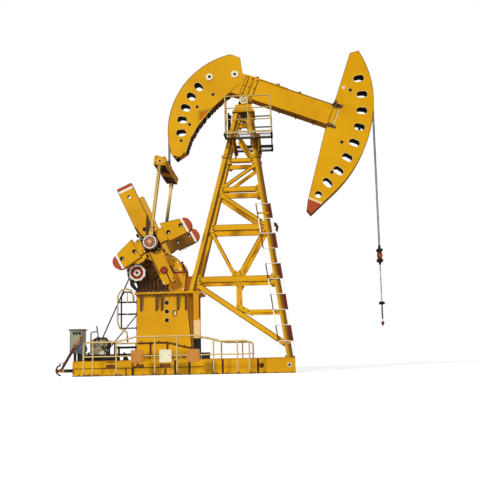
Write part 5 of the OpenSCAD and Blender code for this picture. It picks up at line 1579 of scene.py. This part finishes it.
# ---------------------------------------------------------------- control cabinet
m = Mesh()
x0, x1, y0, y1 = -4.658, -4.342, -0.725, -0.285
m.prism([(x0 - 0.027, 0, 1.200), (x1 + 0.030, 0, 1.200), (x1 + 0.030, 0, 1.214), (x1 - 0.02, 0, 1.2275), (x0 + 0.02, 0, 1.2275), (x0 - 0.027, 0, 1.214)], (0, y0 - 0.025, 0), (0, y1 + 0.025, 0), 1)
m.box((x0 - 0.028, y0 - 0.026, 1.186), (x1 + 0.031, y0 - 0.022, 1.216), 1)
for x in (-4.582, -4.505, -4.428):
    m.box((x, y0 - 0.0015, 1.080), (x + 0.060, y0 + 0.001, 1.152), 2)
    for z in (1.098, 1.134):
        m.obox((x + 0.030, y0 - 0.003, z), (X, Vector((0, 0.8, 0.6)), Vector((0, -0.6, 0.8))), (0.030, 0.004, 0.0012), 2)
    for a, b in (((x - 0.006, 1.074), (x + 0.066, 1.080)), ((x - 0.006, 1.152), (x + 0.066, 1.158))):
        m.box((a[0], y0 - 0.004, a[1]), (b[0], y0, b[1]), 3)
# door seam, stiles, hinges and handle
for a, b in (((x0 + 0.018, 0.632), (x0 + 0.022, 1.185)), ((x1 - 0.022, 0.632), (x1 - 0.018, 1.185)), ((x0 + 0.018, 0.629), (x1 - 0.018, 0.633)), ((x0 + 0.018, 1.182), (x1 - 0.018, 1.186))):
    m.box((a[0], y0 - 0.001, a[1]), (b[0], y0 + 0.001, b[1]), 2)
for z in (0.72, 1.00):
    m.cyl((x0 + 0.012, y0 - 0.007, z), (x0 + 0.012, y0 - 0.007, z + 0.07), 0.008, 12, 3)
m.box((x1 - 0.045, y0 - 0.012, 0.90), (x1 - 0.028, y0 - 0.001, 0.99), 1)
m.cyl((x1 - 0.036, y0 - 0.004, 0.945), (x1 - 0.036, y0 - 0.026, 0.945), 0.010, 14, 4)
# pale side panel and louvre slats on both sides
m.box((x1 - 0.001, y0 + 0.02, 0.64), (x1 + 0.003, y1 - 0.02, 1.18), 7)
for z in (0.70, 0.74, 0.78, 0.82, 0.86):
    m.obox((x1 + 0.005, -0.505, z), (Y, Vector((0.7, 0, 0.7)), Vector((-0.7, 0, 0.7))), (0.12, 0.007, 0.0015), 3)
    m.obox((x0 - 0.003, -0.505, z), (Y, Vector((-0.7, 0, 0.7)), Vector((0.7, 0, 0.7))), (0.12, 0.007, 0.0015), 3)
# round cover low on the front, blue-grey
c = Vector((-4.329, y0, 0.706))
m.revolve(c, (0, -1, 0), [(0.132, -0.03), (0.132, 0.016), (0.112, 0.030), (0.060, 0.040), (0, 0.043)], 40, 5)
for k in range(6):
    a = math.radians(30 + 60 * k)
    m.bolt(c + Vector((0.120 * math.cos(a), -0.020, 0.120 * math.sin(a))), (0, -1, 0), 0.006, 4)
# thick dark legs, feet and gland plate
for x in (-4.524, -4.374):
    for y in (-0.690, -0.330):
        m.box((x - 0.030, y - 0.027, 0.400), (x + 0.030, y + 0.027, 0.606), 6)
        m.box((x - 0.036, y - 0.036, 0.3905), (x + 0.036, y + 0.036, 0.400), 6)
        m.bolt((x + 0.020, y - 0.031, 0.402), (0, 0, 1), 0.007, 4)
m.box((-4.60, -0.66, 0.594), (-4.40, -0.40, 0.6065), 6)
for x in (-4.55, -4.50, -4.45):
    m.cyl((x, -0.52, 0.594), (x, -0.52, 0.560), 0.016, 14, 6, 0.012)
piece("cabinet_fittings", m, [M_GREY, M_GREY2, M_BLACK, M_GREY, M_BOLT, M_MOTOR2, M_BLACK, M_GREY3], "root")

# ---------------------------------------------------------------- brake lever and quadrant
M_LEVER = paint("lever_enamel", base=(0.50, 0.24, 0.085), base2=(0.36, 0.15, 0.05), dirt_and_shade=(0.06, 0.02, 0.01), wear=(0.85, 0.7, 0.5), grime_and_shade_amount=0.7, streaks=0.3)
m = Mesh()
lp = Vector((-4.85, -0.80, 0.17))
lt = Vector((-4.42, -0.80, 0.89))
ld = (lt - lp).normalized()
m.revolve(lp + Vector((0, 0.0095, 0)), (0, -1, 0), [(0.025, 0), (0.050, 0), (0.050, 0.019), (0.025, 0.019)], 32, 0, True)
m.bar(lp + ld * 0.04, lt - ld * 0.10, 0.058, 0.020, Y, 0)
m.bar(lp + ld * 0.10, lt - ld * 0.16, 0.020, 0.025, Y, 4)
m.bar(lt - ld * 0.24, lt + ld * 0.02, 0.036, 0.034, Y, 0)
g0 = Vector((-4.436, -0.80, 0.863))
g1 = Vector((-4.325, -0.80, 1.050))
gd = (g1 - g0).normalized()
m.revolve(g0 - gd * 0.14, gd, [(0.020, 0), (0.026, 0.03), (0.024, 0.10), (0.026, 0.16), (0.032, 0.28), (0.030, 0.345), (0.012, 0.360)], 20, 1)
m.ring(g0 - gd * 0.10, gd, 0.020, 0.031, 0.024, 20, 0)
m.ring(g0 + gd * 0.16, gd, 0.020, 0.0345, 0.022, 20, 0)
# latch rod and its trigger
off = ld.cross(Y).normalized() * 0.034
m.cyl(lp + ld * 0.15 + off, lt - ld * 0.20 + off, 0.010, 10, 0)
m.bar(lt - ld * 0.24 + off, lt - ld * 0.08 + off * 1.3, 0.016, 0.014, Y, 0)
m.bar(lp + ld * 0.09 + off * 0.8, lp + ld * 0.17 + off * 0.8, 0.026, 0.016, Y, 0)
o = piece("brake_lever_latch", m, [M_DARKBR, M_LEVER, M_BOLT, M_BLACK, M_DRED], "brake_lever", bevel=0.0015)
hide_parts("brake_lever")

m = Mesh()
qc = (-4.85, 0.17)
loop_o, loop_i = [], []
for k in range(61):
    a = math.radians(92 + 176 * k / 60)
    rr = 0.150 - (0.010 if k % 3 == 0 and 6 < k < 54 else 0.0)
    loop_o.append(Vector((qc[0] + rr * math.cos(a), 0, qc[1] + rr * math.sin(a))))
    loop_i.append(Vector((qc[0] + 0.108 * math.cos(a), 0, qc[1] + 0.108 * math.sin(a))))
m.prism(loop_o + loop_i[::-1], (0, -0.833, 0), (0, -0.815, 0), 0)
m.box((-4.97, -0.839, 0.112), (-4.572, -0.815, 0.198), 0)
m.box((-4.90, -0.8405, 0.118), (-4.76, -0.838, 0.192), 1)
for x in (-4.715, -4.665, -4.615):
    m.box((x, -0.8405, 0.118), (x + 0.030, -0.838, 0.192), 3)
m.box((-4.630, -0.839, 0.112), (-4.571, -0.742, 0.198), 0)
for x in (-4.92, -4.72, -4.61):
    m.bolt((x, -0.840, 0.155), (0, -1, 0), 0.013, 2)
m.cyl((-4.85, -0.842, 0.17), (-4.85, -0.772, 0.17), 0.0238, 24, 2)
m.bolt((-4.85, -0.842, 0.17), (0, -1, 0), 0.020, 2, nut=False)
for z in (0.135, 0.175):
    m.bolt((-4.60, -0.742, z), (0, 1, 0), 0.010, 2)
# hook at the top of the quadrant
m.tube(round_path([(-4.855, -0.829, 0.300), (-4.90, -0.829, 0.345), (-4.80, -0.829, 0.370), (-4.765, -0.829, 0.300)], 0.04, 5), 0.010, 10, 0)
o = piece("brake_quadrant_teeth", m, [M_DARKBR, M_LEVER, M_BOLT, M_BLACK], "root", bevel=0.0015)
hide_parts("brake_quadrant")

# ---------------------------------------------------------------- pedestal ladder with its two arches
m = Mesh()
yl, yi_ = -0.622, -0.578
m.tube(round_path([(-3.01, yl, 1.905), (-3.01, yl, 2.06), (-3.06, yl, 2.225), (-3.20, yl, 2.255), (-3.33, yl, 2.225), (-3.42, yl, 2.06), (-3.42, yl, 1.38), (-3.36, yl, 1.22), (-3.175, yl, 1.13), (-3.165, yl, 1.00)], 0.10, 6), 0.0205, 12, 0)
m.tube(round_path([(-3.330, yi_, 1.215), (-3.330, yi_, 2.06), (-3.26, yi_, 2.175), (-3.08, yi_, 2.175), (-3.005, yi_, 2.06), (-3.005, yi_, 1.905)], 0.09, 6), 0.020, 12, 1)
m.tube([(-3.170, -0.60, 2.17), (-3.170, -0.60, 1.92)], 0.013, 10, 0)
m.tube(round_path([(-3.165, yl, 1.02), (-3.160, yl, 0.93), (-3.150, yl, 0.86)], 0.03, 4), 0.020, 10, 1)
for z in (1.225, 1.592, 1.905):
    xa_ = -3.33 if z < 1.3 else -3.42
    m.cyl((xa_, -0.600, z), (-2.9325, -0.560, z), 0.021 if z > 1.3 else 0.016, 12, 1)
    m.cyl((-3.19, -0.588, z), (-3.15, -0.584, z), 0.024, 12, 0)
    m.box((-2.9425, -0.578, z - 0.040), (-2.9305, -0.520, z + 0.040), 1)
    for dz in (-0.026, 0.026):
        m.bolt((-2.9425, -0.540, z + dz), (-1, 0, 0), 0.009, 2)
for x in (-3.42, -3.33, -3.005):
    for z in (1.225, 1.592, 1.905):
        if z > 1.3 or x > -3.4 and x < -3.3:
            m.cyl((x, -0.640, z), (x, -0.562, z), 0.015, 10, 1)
o = piece("pedestal_ladder_arches", m, [M_TAN, M_BLACK, M_BOLT], "root")
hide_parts("pedestal_ladder")

# ---------------------------------------------------------------- base trim
m = Mesh()
for s in (-1, 1):
    yo, yw = s * 0.7595, s * 0.6905
    ya, yb = sorted((yo, yw))
    # flat side plates: two rows toward the motor end, one row under the tower, dark joints between
    pa, pb = sorted((s * 0.700, s * 0.7535))
    da, db = sorted((s * 0.700, s * 0.7500))
    m.box((-4.556, da, 0.180), (-1.150, db, 0.210), 1)
    xs = [-4.556, -3.173, -2.995, -1.885, -1.523, -1.150]
    ws = [0.0, 0.030, 0.062, 0.078, 0.060, 0.0]
    for k in range(5):
        m.box((xs[k] + ws[k] / 2, pa, 0.0165), (xs[k + 1] - ws[k + 1] / 2, pb, 0.1865), 9)
    for x_, w_ in ((-3.173, 0.030), (-2.995, 0.062), (-1.885, 0.078), (-1.523, 0.060)):
        m.box((x_ - w_ / 2, da, 0.0165), (x_ + w_ / 2, db, 0.1865), 3)
    us = [-4.556, -1.885, -1.523, -1.150]
    uw = [0.0, 0.078, 0.060, 0.0]
    for k in range(3):
        m.box((us[k] + uw[k] / 2, pa, 0.2065), (us[k + 1] - uw[k + 1] / 2, pb, 0.3735), 9)
    for x_, w_ in ((-1.885, 0.078), (-1.523, 0.060)):
        m.box((x_ - w_ / 2, da, 0.2065), (x_ + w_ / 2, db, 0.3735), 3)
    for a, b in ((-1.150, -0.935), (-0.909, -0.690), (-0.638, 0.215), (0.271, 1.186)):
        m.box((a, pa, 0.0165), (b, pb, 0.3735), 9)
    for a, b in ((-0.935, -0.909), (-0.690, -0.638), (0.215, 0.271)):
        m.box((a, da, 0.0165), (b, db, 0.3735), 3)
    # brown and dark patches in the upper row and one in the lower row: painted shade of recesses and slots; red lug
    for a, b, c, d in ((-3.700, 0.2075, -3.430, 0.292), (-3.700, 0.338, -3.390, 0.368), (-2.855, 0.2075, -2.700, 0.290), (-2.290, 0.2075, -2.010, 0.300)):
        m.box((a, s * 0.700, b), (c, s * 0.7547, d), 10)
    m.box((-2.180, s * 0.700, 0.030), (-2.110, s * 0.7547, 0.180), 10)
    lug = [(-3.030, 0.345), (-3.000, 0.355), (-2.995, 0.290), (-2.960, 0.235), (-2.915, 0.235), (-2.885, 0.290), (-2.885, 0.350), (-2.850, 0.345), (-2.855, 0.250), (-2.900, 0.195), (-2.985, 0.195), (-3.025, 0.260)]
    m.prism([(a, s * 0.7525, b) for a, b in lug], (0, 0, 0), (0, s * 0.010, 0), 4)
    m.revolve((0.330, s * 0.745, 0.205), (0, s, 0), [(0.066, 0), (0.066, 0.012), (0.056, 0.018), (0.0, 0.018)], 32, 10)
    m.revolve((0.330, s * 0.762, 0.205), (0, s, 0), [(0.030, 0), (0.030, 0.006), (0, 0.006)], 24, 3)
    m.ring((1.045, s * 0.752, 0.205), (0, s, 0), 0.034, 0.056, 0.012, 32, 5)
    m.cyl((1.045, s * 0.690, 0.205), (1.045, s * 0.757, 0.205), 0.035, 24, 3)
    # bolts along the lower edge
    x, k = -4.40, 0
    while x < 1.15:
        m.bolt((x, s * 0.7530, 0.034), (0, s, 0), 0.016 if k % 3 else 0.022, 6, washer=False)
        x += (0.29, 0.43, 0.24)[k % 3]
        k += 1
    # weld bead under the top flange; dark strip along the bottom edge, painted shadow under the base
    m.bar((-4.56, s * 0.7605, 0.382), (1.19, s * 0.7605, 0.382), 0.013, 0.004, Y, 8)
    m.bar((-4.56, s * 0.7605, 0.008), (1.19, s * 0.7605, 0.008), 0.013, 0.004, Y, 3)
# black box on the deck
m.box((-1.222, -0.640, 0.391), (-1.005, -0.520, 0.555), 7)
m.box((-1.230, -0.646, 0.545), (-0.997, -0.514, 0.560), 6)
for x in (-1.195, -1.035):
    m.bolt((x, -0.640, 0.50), (0, -1, 0), 0.008, 6)
# deck plates: bolt rows
for x0_, x1_, hy in ((-4.54, -3.0, 0.58), (-1.18, 0.88, 0.52)):
    for s in (-1, 1):
        x = x0_ + 0.06
        while x < x1_:
            m.bolt((x, s * hy, 0.390), (0, 0, 1), 0.008, 6)
            x += 0.24
piece("base_trim", m, [M_YEL, M_DARKBR, M_DARKBR, M_DARKBR, M_DRED, M_WHITE, M_BOLT, M_BLACK, M_YEL_LIT, M_BASE, M_BROWN], "root", bevel=0.002)

# ---------------------------------------------------------------- pedestal trim
m = Mesh()
for s in (-1, 1):
    f = s * 0.580
    n = (0, s, 0)
    for z in (1.410, 1.640, 1.870):
        m.ring((-2.125, f - s * 0.0005, z), n, 0.0565, 0.072, 0.004, 32, 1)
        m.ring((-2.125, s * 0.5635, z), (0, -s, 0), 0.0, 0.070, 0.004, 32, 2)
    oc = Vector((-1.916, 0, 1.590))
    lo_ = slot_loop((oc.x, oc.z), math.pi / 2, 0.118, 0.062)
    sc = lambda kx, kz: [oc + Vector(((p.x - oc.x) * kx, 0, (p.z - oc.z) * kz)) for p in lo_]
    m.ring_prism(sc(1.85, 1.42), sc(1.28, 1.14), (0, f - s * 0.0005, 0), (0, f + s * 0.006, 0), 3)
    m.ring_prism(sc(1.28, 1.14), sc(1.01, 1.01), (0, f - s * 0.0005, 0), (0, f + s * 0.004, 0), 1)
    m.prism(sc(1.20, 1.10), (0, s * 0.5630, 0), (0, s * 0.5550, 0), 9)
    # weld seam; dark strip along the slanted right edge, painted shade of the side wall; pale and dark strips beside
    # the ribs, painted highlight and painted shade
    m.bar((-2.925, f + s * 0.002, 0.42), (-2.925, f + s * 0.002, 2.08), 0.010, 0.006, Y, 4)
    m.bar((-1.450, f + s * 0.002, 0.42), (-1.600, f + s * 0.002, 2.07), 0.022, 0.006, Y, 5)
    for x in (-2.798, -2.390, -2.252, -1.827, -1.614):
        if s < 0 or x > -2.5:
            m.bar((x + 0.033, f + s * 0.004, 2.085), (x + 0.033, f + s * 0.004, 1.66), 0.018, 0.010, Y, 1)
            m.bar((x - 0.030, f + s * 0.003, 2.085), (x - 0.030, f + s * 0.003, 1.66), 0.010, 0.006, Y, 4)
    # conduit with its drops, angle over the foot
    path = [(-2.90, s * 0.606, 0.828), (-2.10, s * 0.606, 0.834), (-1.63, s * 0.606, 0.700), (-1.47, s * 0.606, 0.690)]
    m.tube(round_path(path, 0.06, 5), 0.0165, 10, 5)
    for x, z0 in ((-2.56, 0.51), (-2.12, 0.44)):
        m.tube([(x, s * 0.606, 0.83), (x, s * 0.606, z0)], 0.0150, 10, 5)
        m.cyl((x, s * 0.606, 0.795), (x, s * 0.606, 0.850), 0.022, 12, 5)
    for x in (-2.80, -2.34, -1.90, -1.66):
        m.box((x - 0.012, min(s * 0.580, s * 0.612), 0.86 - (0.0 if x < -2.1 else 0.055 if x < -1.8 else 0.125)), (x + 0.012, max(s * 0.580, s * 0.612), 0.88 - (0.0 if x < -2.1 else 0.055 if x < -1.8 else 0.125)), 5)
    m.box((-2.925, min(s * 0.580, s * 0.640), 0.496), (-1.475, max(s * 0.580, s * 0.640), 0.522), 5)
    for x in (-2.90, -2.60, -2.30, -2.00, -1.70, -1.50):
        m.box((x - 0.007, min(s * 0.580, s * 0.638), 0.412), (x + 0.007, max(s * 0.580, s * 0.638), 0.497), 4)
    # top plate: pale edge, nuts under and over it
    m.bar((-2.58 if s > 0 else -2.955, s * 0.7015, 2.139), (-1.23, s * 0.7015, 2.139), 0.012, 0.003, Y, 6)
    m.bar((-2.58 if s > 0 else -2.955, s * 0.7015, 2.098), (-1.23, s * 0.7015, 2.098), 0.010, 0.003, Y, 4)
    for k in range(11):
        x = -2.90 + 0.155 * k
        if s > 0 and x < -2.56:
            continue
        m.bolt((x, s * 0.665, 2.090), (0, 0, -1), 0.014, 7, nut=True)
        if k in (0, 2, 4, 8, 10):
            m.bolt((x, s * 0.655, 2.150), (0, 0, 1), 0.016, 8)
    # foot flange bolts
    for k in range(10):
        m.bolt((-2.86 + 0.15 * k, s * 0.618, 0.412), (0, 0, 1), 0.013, 7)
    # rear posts: base plates, stiffeners
    px = -1.330 if s < 0 else -1.482
    ya, yb = sorted((s * (0.515 if s < 0 else 0.650), s * 0.715))
    m.box((px - 0.110, ya, 0.391), (px + 0.105, yb, 0.405), 0)
    for x in (px - 0.065, px + 0.065):
        m.bolt((x, s * 0.708, 0.405), (0, 0, 1), 0.012, 7)
    m.bar((px - 0.088, s * 0.7005, 0.45), (px - 0.088, s * 0.7005, 2.06), 0.014, 0.004, Y, 5)
    m.bar((px + 0.076, s * 0.7005, 1.44), (px + 0.076, s * 0.7005, 2.06), 0.026, 0.004, Y, 5)
# access cover on the back face of the pedestal
m.box((-2.944, -0.26, 0.80), (-2.929, 0.26, 1.62), 0)
for y in (-0.22, -0.07, 0.07, 0.22):
    for z in (0.84, 1.58):
        m.bolt((-2.944, y, z), (-1, 0, 0), 0.012, 7)
for z in (1.09, 1.33):
    for y in (-0.22, 0.22):
        m.bolt((-2.944, y, z), (-1, 0, 0), 0.012, 7)
m.tube(round_path([(-2.944, -0.08, 1.22), (-2.985, -0.08, 1.22), (-2.985, 0.08, 1.22), (-2.944, 0.08, 1.22)], 0.02, 4), 0.009, 10, 7)
piece("pedestal_trim", m, [M_PED, M_RIM, M_BLACK, M_BLACK, M_OLIVE, M_DARKBR, M_YEL_LIT, M_BOLT, M_PALEBOLT, M_CREAM], "root", bevel=0.0015)

# ---------------------------------------------------------------- small fittings on the tower
m = Mesh()
m.prism([side(x, -0.078, z) for x, z in ((0.690, 3.93), (0.80, 3.93), (0.865, 3.82), (0.835, 3.66), (0.775, 3.72), (0.790, 3.80), (0.740, 3.85), (0.700, 3.84))], (0, 0, 0), (0, -0.022, 0), 0)
m.bolt(side(0.735, -0.100, 3.895), (0, -1, 0), 0.014, 1)
m.cyl(side(0.82, -0.13, 3.70), side(0.82, -0.07, 3.70), 0.016, 14, 1)
# diagonal struts under the platform
for s in (-1, 1):
    for x in (-0.295, 0.390):
        m.bar((x, s * 0.90, 6.272), (x, s * 0.40, 5.93), 0.045, 0.045, Z, 2)
        m.bolt((x, s * 0.93, 6.17), (0, s, 0), 0.012, 1)
    m.tube(round_path([(-0.52, s * 0.90, 6.30), (-0.50, s * 0.86, 6.235), (-0.44, s * 0.75, 6.20)], 0.03, 4), 0.018, 10, 3)
    # short black posts by the inner rail
    if s > 0:
        m.tube([(-0.46, s * 0.50, 6.30), (-0.43, s * 0.50, 7.26)], 0.024, 12, 3)
# dark box below the saddle, between the leg tops
m.box((-0.085, -0.372, 6.880), (0.090, -0.345, 7.000), 3)
m.box((-0.085, 0.345, 6.880), (0.090, 0.372, 7.000), 3)
# bolts through the cap and stiffeners between the leg tops
for x in (-0.28, 0.25):
    for y in (-0.32, 0.32):
        m.bolt((x, y, 7.04), (0, 0, -1), 0.014, 1, nut=True)
for x in (-0.16, 0.0, 0.16):
    m.prism([(x, -0.33, 7.0385), (x, -0.22, 7.0385), (x, -0.33, 6.93)], (-0.006, 0, 0), (0.006, 0, 0), 2)
    m.prism([(x, 0.33, 7.0385), (x, 0.22, 7.0385), (x, 0.33, 6.93)], (-0.006, 0, 0), (0.006, 0, 0), 2)
piece("tower_fittings", m, [M_DARKBR, M_BOLT, M_YEL_LIT, M_BLACK], "root", bevel=0.002)
